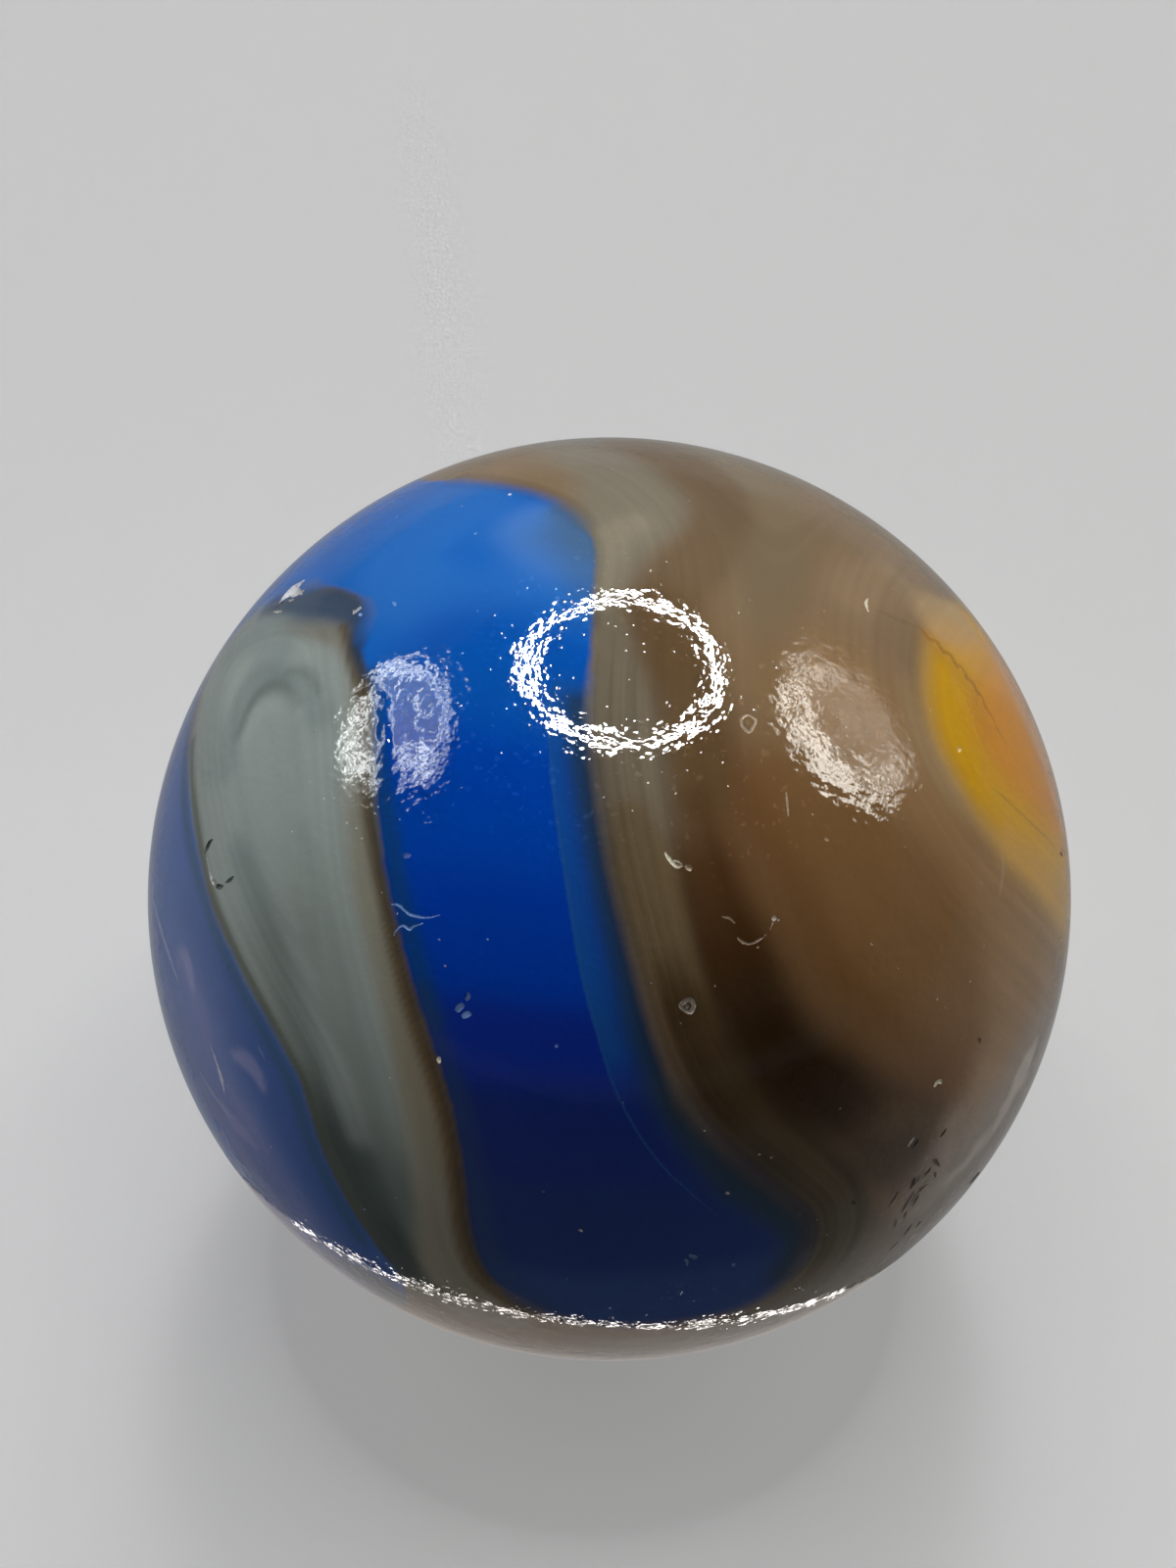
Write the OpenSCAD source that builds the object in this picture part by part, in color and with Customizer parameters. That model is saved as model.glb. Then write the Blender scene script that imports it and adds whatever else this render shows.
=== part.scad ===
// Glass marble: one ball of swirled coloured glass, fused into a single solid.
// The frame's origin is the centre of the ball, +Z is up and -Y is the front.

/* [Ball] */
// Diameter of the ball, in millimetres
ball_d = 16; // [10:0.5:50]
// Facets round the drawn ball: a preview setting, because the solid is a true sphere
ball_facets = 180; // [60:12:360]

/* [Hidden] */

// The streams of coloured glass run together when they are hot and set as one piece, so the
// whole ball is one solid, in the smoky brown of its base glass.
module marble() {
    color([0.42, 0.36, 0.27])
        sphere(d = ball_d, $fn = ball_facets);
}

marble();
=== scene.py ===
# %% [markdown]
# # A glass marble, and how to light it
#
# A machine-made marble starts as one thick drop of hot glass. Several colours run into the
# stream before it is cut, and the drop is then rolled round in grooves while it sets. So the
# colours are not painted on: they are streams of glass that flowed side by side and froze.
#
# This lesson builds one such marble. Its shape is the simple half of the work. The other half is
# its skin: where each stream of colour runs, the fine lines that the flow drew in it, the gloss,
# the faint unevenness that the rollers left, and the bruises of many games.

import math

import bpy
import numpy as np
from mathutils import Matrix, Vector


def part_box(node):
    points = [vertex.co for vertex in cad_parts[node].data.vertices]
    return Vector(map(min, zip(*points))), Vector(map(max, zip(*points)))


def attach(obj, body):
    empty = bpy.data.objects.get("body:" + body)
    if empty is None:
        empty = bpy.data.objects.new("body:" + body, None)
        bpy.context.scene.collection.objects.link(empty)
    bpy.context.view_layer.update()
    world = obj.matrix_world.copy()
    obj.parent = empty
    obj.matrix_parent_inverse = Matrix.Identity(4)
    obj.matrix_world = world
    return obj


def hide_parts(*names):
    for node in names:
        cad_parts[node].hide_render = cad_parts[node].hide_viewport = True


MM = 1000.0  # millimetres in a metre

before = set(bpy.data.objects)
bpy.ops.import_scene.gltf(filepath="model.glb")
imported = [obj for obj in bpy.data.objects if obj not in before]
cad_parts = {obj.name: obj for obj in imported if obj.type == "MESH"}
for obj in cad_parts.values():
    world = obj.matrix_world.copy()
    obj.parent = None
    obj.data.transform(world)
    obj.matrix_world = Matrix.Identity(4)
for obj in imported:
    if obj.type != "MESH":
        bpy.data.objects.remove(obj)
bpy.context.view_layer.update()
low_corner, high_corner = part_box("marble")
BALL_RADIUS = (high_corner.z - low_corner.z) / 2
FLOOR_HEIGHT = low_corner.z
print("ball radius, mm:", round(BALL_RADIUS * MM, 3))

# %% [markdown]
# ## Where the camera stands
#
# A small round thing is best seen from a little above, so the camera looks down at it by about
# 50 degrees. A long lens keeps the outline a true circle. The camera also leans a few degrees to
# one side, as a hand-held one does, and the ball sits a little low and right of the middle.

# %% The camera
CAMERA_HEIGHT_ANGLE = math.radians(50)
CAMERA_ROLL = math.radians(4.1)
CAMERA_DISTANCE = 14.19 * BALL_RADIUS
LENS_MM = 150
AIM_LEFT = math.radians(0.1865)
AIM_ABOVE = math.radians(1.0037)
NEAR_LIMIT = 0.001

to_camera = Vector((0, -math.cos(CAMERA_HEIGHT_ANGLE), math.sin(CAMERA_HEIGHT_ANGLE)))
level_right = Vector((1, 0, 0))
level_up = to_camera.cross(level_right)
lean = Matrix.Rotation(CAMERA_ROLL, 3, to_camera)
sight_right = lean @ level_right
sight_up = lean @ level_up
sight = Matrix((sight_right, sight_up, to_camera)).transposed()
aim = Matrix.Rotation(AIM_ABOVE, 3, "X") @ Matrix.Rotation(AIM_LEFT, 3, "Y")

camera_data = bpy.data.cameras.new("camera")
camera_data.lens = LENS_MM
camera_data.clip_start = NEAR_LIMIT
camera = bpy.data.objects.new("camera", camera_data)
camera.matrix_world = Matrix.Translation(to_camera * CAMERA_DISTANCE) @ (sight @ aim).to_4x4()
bpy.context.scene.collection.objects.link(camera)
bpy.context.scene.camera = camera
print("camera at, mm:", [round(v * MM, 1) for v in to_camera * CAMERA_DISTANCE])

# %% [markdown]
# ## Small helpers for nodes
#
# A node tree is long when it is written out link by link. These helpers keep it short. Each one
# places a node, fills its inputs with values or links, and hands back what the next node needs.

# %% Helpers for nodes
WHITE = (1.0, 1.0, 1.0, 1.0)


def grey(level):
    """A neutral colour of that linear level."""
    return (level, level, level, 1.0)


def rgb(colour):
    """A colour of three numbers with its alpha."""
    return (*colour, 1.0)


def new_material(name):
    """An empty node material and its node tree."""
    material = bpy.data.materials.new(name)
    material.use_nodes = True
    material.node_tree.nodes.clear()
    return material, material.node_tree


def place_node(tree, kind, inputs=None, **settings):
    """Adds a node with its plain settings, and fills its inputs with values or links."""
    made = tree.nodes.new(kind)
    for name, setting in settings.items():
        setattr(made, name, setting)
    for socket, value in (inputs or {}).items():
        if isinstance(value, bpy.types.NodeSocket):
            tree.links.new(value, made.inputs[socket])
        else:
            made.inputs[socket].default_value = value
    return made


print("a neutral colour:", grey(0.5))

# %% [markdown]
# ## Sums, mixes and noise
#
# Most of a procedural material is arithmetic: how far, how much, which of two. Each kind of sum
# gets a short name here, so that the materials below read like the reasoning behind them.

# %% Helpers for sums, mixes and noise
LENGTH_SUMS = ("LENGTH", "DOT_PRODUCT")


def math_node(tree, operation, *values):
    """One sum on numbers; returns its output socket."""
    return place_node(tree, "ShaderNodeMath", dict(enumerate(values)), operation=operation).outputs[0]


def vector_math(tree, operation, *values):
    """One sum on vectors; returns its output socket."""
    made = place_node(tree, "ShaderNodeVectorMath", dict(enumerate(values)), operation=operation)
    return made.outputs["Value" if operation in LENGTH_SUMS else "Vector"]


def scaled(tree, vector, factor):
    """A vector times a number; returns the output socket."""
    inputs = {0: vector, "Scale": factor}
    return place_node(tree, "ShaderNodeVectorMath", inputs, operation="SCALE").outputs[0]


def noise(tree, place, scale, detail, **more):
    """Smooth noise over a place; returns the node's outputs."""
    inputs = {"Vector": place, "Scale": scale, "Detail": detail, **more}
    return place_node(tree, "ShaderNodeTexNoise", inputs).outputs


def mix_level(tree, factor, first, second):
    """Mixes two numbers; returns the output socket."""
    inputs = {"Factor": factor, "A": first, "B": second}
    return place_node(tree, "ShaderNodeMix", inputs, data_type="FLOAT").outputs[0]


def mix_colour(tree, factor, first, second):
    """Mixes two colours; returns the output socket."""
    made = place_node(tree, "ShaderNodeMix", data_type="RGBA")
    colour_inputs = [socket for socket in made.inputs if socket.type == "RGBA"]
    for socket, value in zip((made.inputs[0], *colour_inputs), (factor, first, second)):
        if isinstance(value, bpy.types.NodeSocket):
            tree.links.new(value, socket)
        else:
            socket.default_value = value
    return [socket for socket in made.outputs if socket.type == "RGBA"][0]


def mix_shader(tree, factor, first, second):
    """Mixes two shader nodes; returns the mixing node."""
    return place_node(tree, "ShaderNodeMixShader", {0: factor, 1: first.outputs[0], 2: second.outputs[0]})


def smooth_range(tree, value, low, high, to_low=0.0, to_high=1.0):
    """A smooth step of the value between low and high; returns the output socket."""
    inputs = {"Value": value, "From Min": low, "From Max": high, "To Min": to_low, "To Max": to_high}
    made = place_node(tree, "ShaderNodeMapRange", inputs, interpolation_type="SMOOTHSTEP")
    return made.outputs["Result"]


print("sums that give a plain number:", ", ".join(LENGTH_SUMS))

# %% [markdown]
# ## Two plain shapes for the room
#
# The room needs only a flat round sheet, for the floor and the soft lamps, and a thin tube bent
# into a circle, for the ring lamp. Both are worked out point by point from a turn and a radius,
# because that takes fewer lines than setting up an operator, and needs no selection or mode.

# %% Helpers for objects and plain shapes
SHEET_SIDES = 96
TUBE_AROUND = 192
TUBE_ACROSS = 12


def new_object(name, mesh):
    """A mesh object at the origin, linked to the scene."""
    thing = bpy.data.objects.new(name, mesh)
    bpy.context.scene.collection.objects.link(thing)
    return thing


def ring_mesh(name, radius, tube_radius):
    """A thin closed tube bent into a level circle round the origin."""
    turn = np.linspace(0, 2 * np.pi, TUBE_AROUND, endpoint=False)
    roll = np.linspace(0, 2 * np.pi, TUBE_ACROSS, endpoint=False)
    turn, roll = np.meshgrid(turn, roll, indexing="ij")
    reach = radius + tube_radius * np.cos(roll)
    points = np.stack([reach * np.cos(turn), reach * np.sin(turn), tube_radius * np.sin(roll)], -1)
    row, column = np.meshgrid(np.arange(TUBE_AROUND), np.arange(TUBE_ACROSS), indexing="ij")
    next_row = (row + 1) % TUBE_AROUND
    next_column = (column + 1) % TUBE_ACROSS
    corners = [(row, column), (next_row, column), (next_row, next_column), (row, next_column)]
    faces = np.stack([first * TUBE_ACROSS + second for first, second in corners], -1).reshape(-1, 4)
    mesh = bpy.data.meshes.new(name)
    mesh.from_pydata(points.reshape(-1, 3).tolist(), [], faces.tolist())
    return mesh


def disc_mesh(name, radius):
    """A flat round sheet facing up."""
    turn = np.linspace(0, 2 * np.pi, SHEET_SIDES, endpoint=False)
    points = np.stack([radius * np.cos(turn), radius * np.sin(turn), 0 * turn], -1)
    mesh = bpy.data.meshes.new(name)
    mesh.from_pydata(points.tolist(), [], [list(range(SHEET_SIDES))])
    return mesh


print("a tube has", TUBE_AROUND * TUBE_ACROSS, "faces")

# %% [markdown]
# ## The satin floor
#
# The marble rests on a pale floor with a faint sheen, which keeps its soft shadow. The floor looks
# a little paler to the camera than it is to the light. It could simply be made paler, but then
# more light would come up under the glass, and the deep colours there would turn milky.

# %% The satin floor
FLOOR_REACH = 1.5
FLOOR_GREY = 0.56
FLOOR_ROUGHNESS = 0.3
FLOOR_LIFT = 0.5

floor = new_object("floor", disc_mesh("floor", FLOOR_REACH))
floor.data.transform(Matrix.Translation((0, 0, FLOOR_HEIGHT)))
floor_material, tree = new_material("satin_floor")
satin_inputs = {"Base Color": grey(FLOOR_GREY), "Roughness": FLOOR_ROUGHNESS}
satin = place_node(tree, "ShaderNodeBsdfPrincipled", satin_inputs)
pale = place_node(tree, "ShaderNodeEmission", {"Color": grey(FLOOR_GREY)})
ray = place_node(tree, "ShaderNodeLightPath").outputs
lift = math_node(tree, "MULTIPLY", ray["Is Camera Ray"], FLOOR_LIFT)
lifted = mix_shader(tree, lift, satin, pale)
print("floor across, m:", 2 * FLOOR_REACH)

# %% [markdown]
# ## What the glass mirrors of the floor
#
# Low on a shiny ball one sees the floor again, squeezed into a thin band. That band is darker than
# the floor, because the ball's own shadow and a dark room lie in it. Close to the foot there is a
# small round card with a bright, beaded edge, which gives the band its glinting line. None of it
# is built: the floor's material shows it to mirrored rays alone, so it can't be seen beside the
# ball and throws no light of its own on the scene.

# %% The round card under the ball
CARD_LEFT = -0.08 * BALL_RADIUS
CARD_CENTRE = -0.30 * BALL_RADIUS
CARD_RADIUS = 0.815 * BALL_RADIUS
CARD_EDGE = 0.016 * BALL_RADIUS
CARD_GLOW = 0.45
CARD_EDGE_GLOW = 11
CARD_ENDS = (0.2, 0.3)
BEADS_AROUND = 24
BEAD_LENGTH = 0.12 * BALL_RADIUS
BEAD_GAP = (0.45, 0.54)

spot = place_node(tree, "ShaderNodeTexCoord").outputs["Object"]
parts = place_node(tree, "ShaderNodeSeparateXYZ", {0: spot}).outputs
card_across = math_node(tree, "SUBTRACT", parts["X"], CARD_LEFT)
card_along = math_node(tree, "SUBTRACT", parts["Y"], CARD_CENTRE)
on_sheet = place_node(tree, "ShaderNodeCombineXYZ", {0: card_across, 1: card_along}).outputs[0]
from_centre = vector_math(tree, "LENGTH", on_sheet)
card_front = math_node(tree, "DIVIDE", math_node(tree, "MULTIPLY", card_along, -1.0), from_centre)
off_edge = math_node(tree, "SUBTRACT", from_centre, CARD_RADIUS)
on_card = math_node(tree, "LESS_THAN", off_edge, 0.0)
on_edge = math_node(tree, "LESS_THAN", math_node(tree, "ABSOLUTE", off_edge), CARD_EDGE)
print("card across, mm:", round(2 * CARD_RADIUS * MM, 2))

# %% [markdown]
# ## Beads of light along the card's edge
#
# A worn edge doesn't shine as one even line: it breaks up into glints. Noise does that here. It is
# read along the turn round the card and across its edge, so the glints lie along the edge.

# %% The beads on the card's edge
card_turn = math_node(tree, "ARCTAN2", card_across, card_along)
bead_turn = math_node(tree, "MULTIPLY", card_turn, BEADS_AROUND)
bead_step = math_node(tree, "DIVIDE", off_edge, BEAD_LENGTH)
bead_place = place_node(tree, "ShaderNodeCombineXYZ", {0: bead_turn, 1: bead_step}).outputs[0]
beads = noise(tree, bead_place, 1.0, 1.0)["Fac"]
beads = smooth_range(tree, beads, *BEAD_GAP, 0.0, CARD_EDGE_GLOW)
beads = math_node(tree, "MULTIPLY", beads, smooth_range(tree, card_front, *CARD_ENDS))
card_level = math_node(tree, "MULTIPLY", on_card, CARD_GLOW)
card_level = math_node(tree, "MULTIPLY_ADD", on_edge, beads, card_level)
print("beads round the card:", BEADS_AROUND)

# %% [markdown]
# ## The dimmed floor in the reflection
#
# Outside the card the mirrored floor is dimmed, and most of all in front, where the dark room
# behind the camera would be seen. The finished floor is scenery and no part of the marble.

# %% The dimmed floor, and the finished floor
DIM_FRONT = 0.88
DIM_AROUND = 0.5
DIM_TURN = (0.1, 0.75)
CARD_TINT = (1.0, 0.93, 0.88, 1.0)

reach = vector_math(tree, "LENGTH", spot)
forward = math_node(tree, "DIVIDE", math_node(tree, "MULTIPLY", parts["Y"], -1.0), reach)
dim = smooth_range(tree, forward, *DIM_TURN, DIM_AROUND, DIM_FRONT)
covered = math_node(tree, "MAXIMUM", dim, math_node(tree, "MAXIMUM", on_card, on_edge))
covered = math_node(tree, "MULTIPLY", covered, ray["Is Glossy Ray"])
card = place_node(tree, "ShaderNodeEmission", {"Color": CARD_TINT, "Strength": card_level})
floor_shader = mix_shader(tree, covered, lifted, card)
place_node(tree, "ShaderNodeOutputMaterial", {"Surface": floor_shader.outputs[0]})
floor.data.materials.append(floor_material)
print("mirrored floor dimmed by", DIM_AROUND, "to", DIM_FRONT)

# %% [markdown]
# ## Hanging a lamp
#
# Glass shows its lamps as much as its own colour, so the lamps here are shapes with a glow, not
# points. Each hangs out in some direction and faces the ball. Its glow has two levels: one for
# what it gives to the room, and one for how brightly the glass mirrors it. On real glass these are
# tied together, but keeping them apart lets the highlights sparkle while the colours stay true.

# %% Helpers for lamps
def facing(towards, distance):
    """Moves something flat from the origin out to a direction and turns it to face the ball."""
    turned = towards.to_track_quat("Z", "Y").to_matrix().to_4x4()
    return Matrix.Translation(towards.normalized() * distance) @ turned


def lamp_shader(tree, glow, shine, tint=WHITE):
    """A glow that the skin of the ball mirrors at another level, and in a tint of its own."""
    mirrored = place_node(tree, "ShaderNodeLightPath").outputs["Is Glossy Ray"]
    level = mix_level(tree, mirrored, glow, shine)
    colour = mix_colour(tree, mirrored, WHITE, tint)
    glowing = place_node(tree, "ShaderNodeEmission", {"Color": colour, "Strength": level})
    place_node(tree, "ShaderNodeOutputMaterial", {"Surface": glowing.outputs[0]})


def hang_lamp(name, mesh, material, towards, distance):
    """Hangs a glowing shape out in a direction, as scenery that the camera doesn't see."""
    lamp = new_object(name, mesh)
    lamp.data.transform(facing(towards, distance))
    lamp.data.materials.append(material)
    lamp.visible_camera = False
    print(name, "hangs", distance, "m away")


# %% [markdown]
# ## The ring lamp
#
# One thin ring lamp hangs overhead and a little behind the ball. It lights the top of the marble,
# and it gives the bright ring on the shoulder, which the uneven skin breaks up into sparks.

# %% The ring lamp
RING_TOWARDS = Vector((-0.009, 0.297, 0.955))
RING_DISTANCE = 0.27
RING_RADIUS = 0.0995
RING_TUBE = 0.0055
RING_GLOW = 28
RING_SHINE = 110

ring_glow, tree = new_material("ring_glow")
lamp_shader(tree, RING_GLOW, RING_SHINE)
ring = ring_mesh("ring_lamp", RING_RADIUS, RING_TUBE)
hang_lamp("ring_lamp", ring, ring_glow, RING_TOWARDS, RING_DISTANCE)

# %% [markdown]
# ## The two side lamps
#
# A softer round lamp hangs on each side. The glass doesn't mirror them whole: a hazy disc shows,
# with a broken rim that is brightest on one side. These are the sizes and levels of the two. The
# bright side points from the middle of the lamp to where its rim is brightest, and the lean range
# says over how much of the way across the rim fades in.

# %% The side lamps' sizes and levels
SIDE_DISTANCE = 0.25
SIDE_GLOW = 2.6
SIDE_LAMPS = {
    "left": {
        "radius": 0.073,
        "towards": Vector((-0.782, 0.191, 0.593)),
        "bright_side": Vector((-0.34, 0.34, -0.55)),
        "lean_range": (-0.9, 0.15),
        "rim_place": 0.60,
        "haze_level": 3.5,
        "tint": (0.94, 1.0, 1.0, 1.0),
    },
    "right": {
        "radius": 0.079,
        "towards": Vector((0.746, 0.324, 0.581)),
        "bright_side": Vector((-0.10, -0.55, 0.42)),
        "lean_range": (-0.5, 0.3),
        "rim_place": 0.74,
        "haze_level": 3.0,
        "tint": (1.0, 0.96, 0.87, 1.0),
    },
}
print("side lamps:", ", ".join(SIDE_LAMPS))

# %% [markdown]
# ## The broken rim and the haze
#
# The rim is a ring of shine. Noise cuts it into strands: where the noise passes its middle value
# there is a thin wandering line, and only those lines stay bright. The haze is cloudy noise that
# fades out towards the lamp's edge. The sum of both is what the glass mirrors.

# %% The shine of a side lamp
SIDE_RIM = 15.0
RIM_CORE = 0.10
RIM_REACH = 0.36
RIM_LEAST = 0.02
STRANDS_ACROSS = 3.6
STRAND_TWIST = 1.6
STRAND_HALF_WIDTH = (0.075, 0.125)
BETWEEN_STRANDS = 0.03
CLOUDS_ACROSS = 3.0
CLOUD_DETAIL = 3.0
CLOUD_RANGE = (0.35, 0.68)
CLOUD_LEAST = 0.4
HAZE_CORE = 0.5


def side_rim(tree, spot, offset, reach, side):
    """The strands of shine along a side lamp's rim."""
    radius = side["radius"]
    leaning = vector_math(tree, "DOT_PRODUCT", offset, side["bright_side"] / radius)
    leaning = smooth_range(tree, leaning, *side["lean_range"], RIM_LEAST, 1.0)
    off_rim = math_node(tree, "SUBTRACT", reach, side["rim_place"] * radius)
    off_rim = math_node(tree, "ABSOLUTE", off_rim)
    rim = smooth_range(tree, off_rim, RIM_CORE * radius, RIM_REACH * radius, SIDE_RIM, 0.0)
    rim = math_node(tree, "MULTIPLY", rim, leaning)
    crinkle = noise(tree, spot, STRANDS_ACROSS / radius, 0.0, Distortion=STRAND_TWIST)["Fac"]
    off_strand = math_node(tree, "ABSOLUTE", math_node(tree, "SUBTRACT", crinkle, 0.5))
    strand = smooth_range(tree, off_strand, *STRAND_HALF_WIDTH, 1.0, BETWEEN_STRANDS)
    return math_node(tree, "MULTIPLY", rim, strand)


def side_haze(tree, spot, reach, side):
    """The cloudy haze over a side lamp."""
    radius = side["radius"]
    clouds = noise(tree, spot, CLOUDS_ACROSS / radius, CLOUD_DETAIL)["Fac"]
    clouds = smooth_range(tree, clouds, *CLOUD_RANGE, CLOUD_LEAST, 1.0)
    fading = smooth_range(tree, reach, HAZE_CORE * radius, radius, 1.0, 0.0)
    haze = math_node(tree, "MULTIPLY", clouds, fading)
    return math_node(tree, "MULTIPLY", haze, side["haze_level"])


for side_name, side in SIDE_LAMPS.items():
    side_glow, tree = new_material("side_glow_" + side_name)
    centre = side["towards"].normalized() * SIDE_DISTANCE
    spot = place_node(tree, "ShaderNodeTexCoord").outputs["Object"]
    offset = vector_math(tree, "SUBTRACT", spot, centre)
    reach = vector_math(tree, "LENGTH", offset)
    haze = side_haze(tree, spot, reach, side)
    shine = math_node(tree, "ADD", haze, side_rim(tree, spot, offset, reach, side))
    lamp_shader(tree, SIDE_GLOW, shine, side["tint"])
    sheet = disc_mesh("side_lamp", side["radius"])
    hang_lamp("side_lamp_" + side_name, sheet, side_glow, side["towards"], SIDE_DISTANCE)

# %% [markdown]
# ## The room round the table
#
# The room is pale and plain to the camera, and gives a faint even fill. The glass mirrors a dim
# wall that stands higher behind the ball than in front of it, and darkness above the wall. That
# darkness is why the top of the marble keeps its full colour between the lamps.

# %% The world
WORLD_GREY = 0.56
WORLD_FILL = 0.08
WALL_BACK = 0.1
WALL_FRONT = 0.06
WALL_TURN = (-0.5, 0.5)
WALL_TOP_BACK = 0.72
WALL_TOP_FRONT = 0.12
WALL_TOP_TURN = (-0.5, 0.6)
WALL_TOP_SOFTNESS = (-0.02, 0.05)

world = bpy.data.worlds.new("pale_room")
world.use_nodes = True
bpy.context.scene.world = world
tree = world.node_tree
tree.nodes.clear()
direction = place_node(tree, "ShaderNodeTexCoord").outputs["Generated"]
parts = place_node(tree, "ShaderNodeSeparateXYZ", {0: direction}).outputs
wall_level = smooth_range(tree, parts["Y"], *WALL_TURN, WALL_FRONT, WALL_BACK)
wall_top = smooth_range(tree, parts["Y"], *WALL_TOP_TURN, WALL_TOP_FRONT, WALL_TOP_BACK)
below_top = math_node(tree, "SUBTRACT", wall_top, parts["Z"])
below_top = smooth_range(tree, below_top, *WALL_TOP_SOFTNESS)
wall = math_node(tree, "MULTIPLY", below_top, wall_level)
ray = place_node(tree, "ShaderNodeLightPath").outputs
lit = mix_level(tree, ray["Is Glossy Ray"], WORLD_FILL, wall)
shown = mix_level(tree, ray["Is Camera Ray"], lit, WORLD_GREY)
background = place_node(tree, "ShaderNodeBackground", {"Color": WHITE, "Strength": shown})
place_node(tree, "ShaderNodeOutputWorld", {"Surface": background.outputs[0]})

bpy.context.scene.view_settings.view_transform = "Standard"
print("world:", world.name)

# %% [markdown]
# ## A map for the ball
#
# To say where a stream of glass runs, the ball needs a map like the globe's. Each place is a
# bearing, from 0 at the front to 90 at the right and 180 behind, and a height above the equator.
# The whole map leans with the ball as it came to rest, so that the numbers stay plain ones.

# %% Bearings and heights
LEAN_BACK = math.radians(-13)
lie = lean @ Matrix.Rotation(LEAN_BACK, 3, "X")


def on_ball(course):
    """Unit directions for rows of (bearing, height, ...) in degrees."""
    bearing, height = np.radians(np.asarray(course, float)[:, :2]).T
    level = np.cos(height)
    return np.stack([np.sin(bearing) * level, -np.cos(bearing) * level, np.sin(height)], -1)


print("the map's top points to:", [round(v, 2) for v in lie @ Vector((0, 0, 1))])

# %% [markdown]
# ## Flowing lines
#
# A stream's course is a handful of places, and a smooth line is drawn through them: it passes
# through every place and bends gently between them, which is how poured glass lies. Between two
# places the line is a cubic, pulled at each end along the way from the place before to the place
# after. Widths and strengths given with the places are carried along in the same way.

# %% Flowing lines
SPAN_STEPS = 8


def flowing_line(course, closed=False, steps=SPAN_STEPS):
    """Close samples along a smooth line through the course. Extra columns are carried along."""
    course = np.asarray(course, float)
    knots = np.hstack([on_ball(course), course[:, 2:]])
    if closed:
        knots = np.vstack([knots[-1:], knots, knots[:2]])
    else:
        knots = np.vstack([2 * knots[0] - knots[1], knots, 2 * knots[-1] - knots[-2]])
    before, start, end, after = knots[:-3], knots[1:-2], knots[2:-1], knots[3:]
    samples = []
    for share in np.arange(steps) / steps:
        pull_start = (end - before) / 2
        pull_end = (after - start) / 2
        samples.append(
            (2 * share**3 - 3 * share**2 + 1) * start
            + (share**3 - 2 * share**2 + share) * pull_start
            + (3 * share**2 - 2 * share**3) * end
            + (share**3 - share**2) * pull_end
        )
    line = np.stack(samples, 1).reshape(-1, knots.shape[1])
    last = line[:1] if closed else end[-1:]
    line = np.vstack([line, last])
    line[:, :3] /= np.linalg.norm(line[:, :3], axis=1, keepdims=True)
    return line


print("samples between two places:", SPAN_STEPS)

# %% [markdown]
# ## How far is it to the line?
#
# Every colour edge, soft or crisp, comes from one measure: the angle between a place on the ball
# and the nearest place on a line, counted above zero on one side and below it on the other.
# Such a distance changes evenly over the mesh, so the shader can find a crisp edge between the
# vertices. A colour painted on the vertices themselves could only be as sharp as the mesh.

# %% Distances on the ball
BATCH = 16384
LEAST_SQUARE = 1e-12


def row_products(first, second):
    """The dot product of each pair of rows."""
    return np.einsum("ij,ij->i", first, second)


def to_segment(places, start, end):
    """Chord from each place to the nearest point of its own segment."""
    along = end - start
    share = row_products(places - start, along) / np.maximum(row_products(along, along), LEAST_SQUARE)
    nearest = start + np.clip(share, 0, 1)[:, None] * along
    return np.linalg.norm(places - nearest, axis=1)


def measure(places, line):
    """Signed distance in degrees to the line, positive on its left, and the nearest sample's row."""
    spots = line[:, :3]
    distances = []
    rows = []
    for first in range(0, len(places), BATCH):
        batch = places[first:first + BATCH]
        row = np.argmax(batch @ spots.T, axis=1)
        behind = np.clip(row, 1, len(spots) - 1)
        ahead = np.clip(row + 1, 1, len(spots) - 1)
        gap_behind = to_segment(batch, spots[behind - 1], spots[behind])
        gap_ahead = to_segment(batch, spots[ahead - 1], spots[ahead])
        segment = np.where(gap_ahead < gap_behind, ahead, behind)
        gap = np.minimum(gap_ahead, gap_behind)
        across = np.cross(spots[segment - 1], spots[segment])
        side = np.sign(row_products(across, batch))
        distances.append(side * np.degrees(2 * np.arcsin(np.clip(gap / 2, 0, 1))))
        rows.append(row)
    return np.concatenate(distances), np.concatenate(rows)


front_line = flowing_line(((0, -60), (0, 60)))
quarter, _ = measure(on_ball([(90, 0)]), front_line)
print("from the front to the right side, degrees:", round(abs(float(quarter[0])), 1))

# %% [markdown]
# ## Inside or outside
#
# A closed outline splits the ball in two. One place that is known to lie inside settles which
# side of the line counts as above zero, however the outline happens to be drawn. The second helper
# turns such a distance into a cover that rises smoothly from nothing to full.

# %% Insides and easing
def inside_of(places, course, inner_place):
    """Signed distance in degrees to a closed outline, positive on the inner place's side."""
    line = flowing_line(course, closed=True)
    distance, _ = measure(places, line)
    inner_side, _ = measure(on_ball([inner_place]), line)
    return distance * np.sign(inner_side[0])


def ease(value, low, high):
    """0 below low, 1 above high and a smooth rise between."""
    share = np.clip((value - low) / (high - low), 0, 1)
    return share * share * (3 - 2 * share)


print("half way, cover is", float(ease(0.5, 0, 1)))

# %% [markdown]
# ## Where the blue glass lies
#
# One mass of blue glass wraps the left of the ball. It runs down the front as a ribbon, folds
# round a pool of grey glass like a letter C, and closes behind. Its whole edge is one closed line.
# The pool inside the C opens at the bottom, where the ribbon's tip and the lower blue leave a gap.

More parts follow.
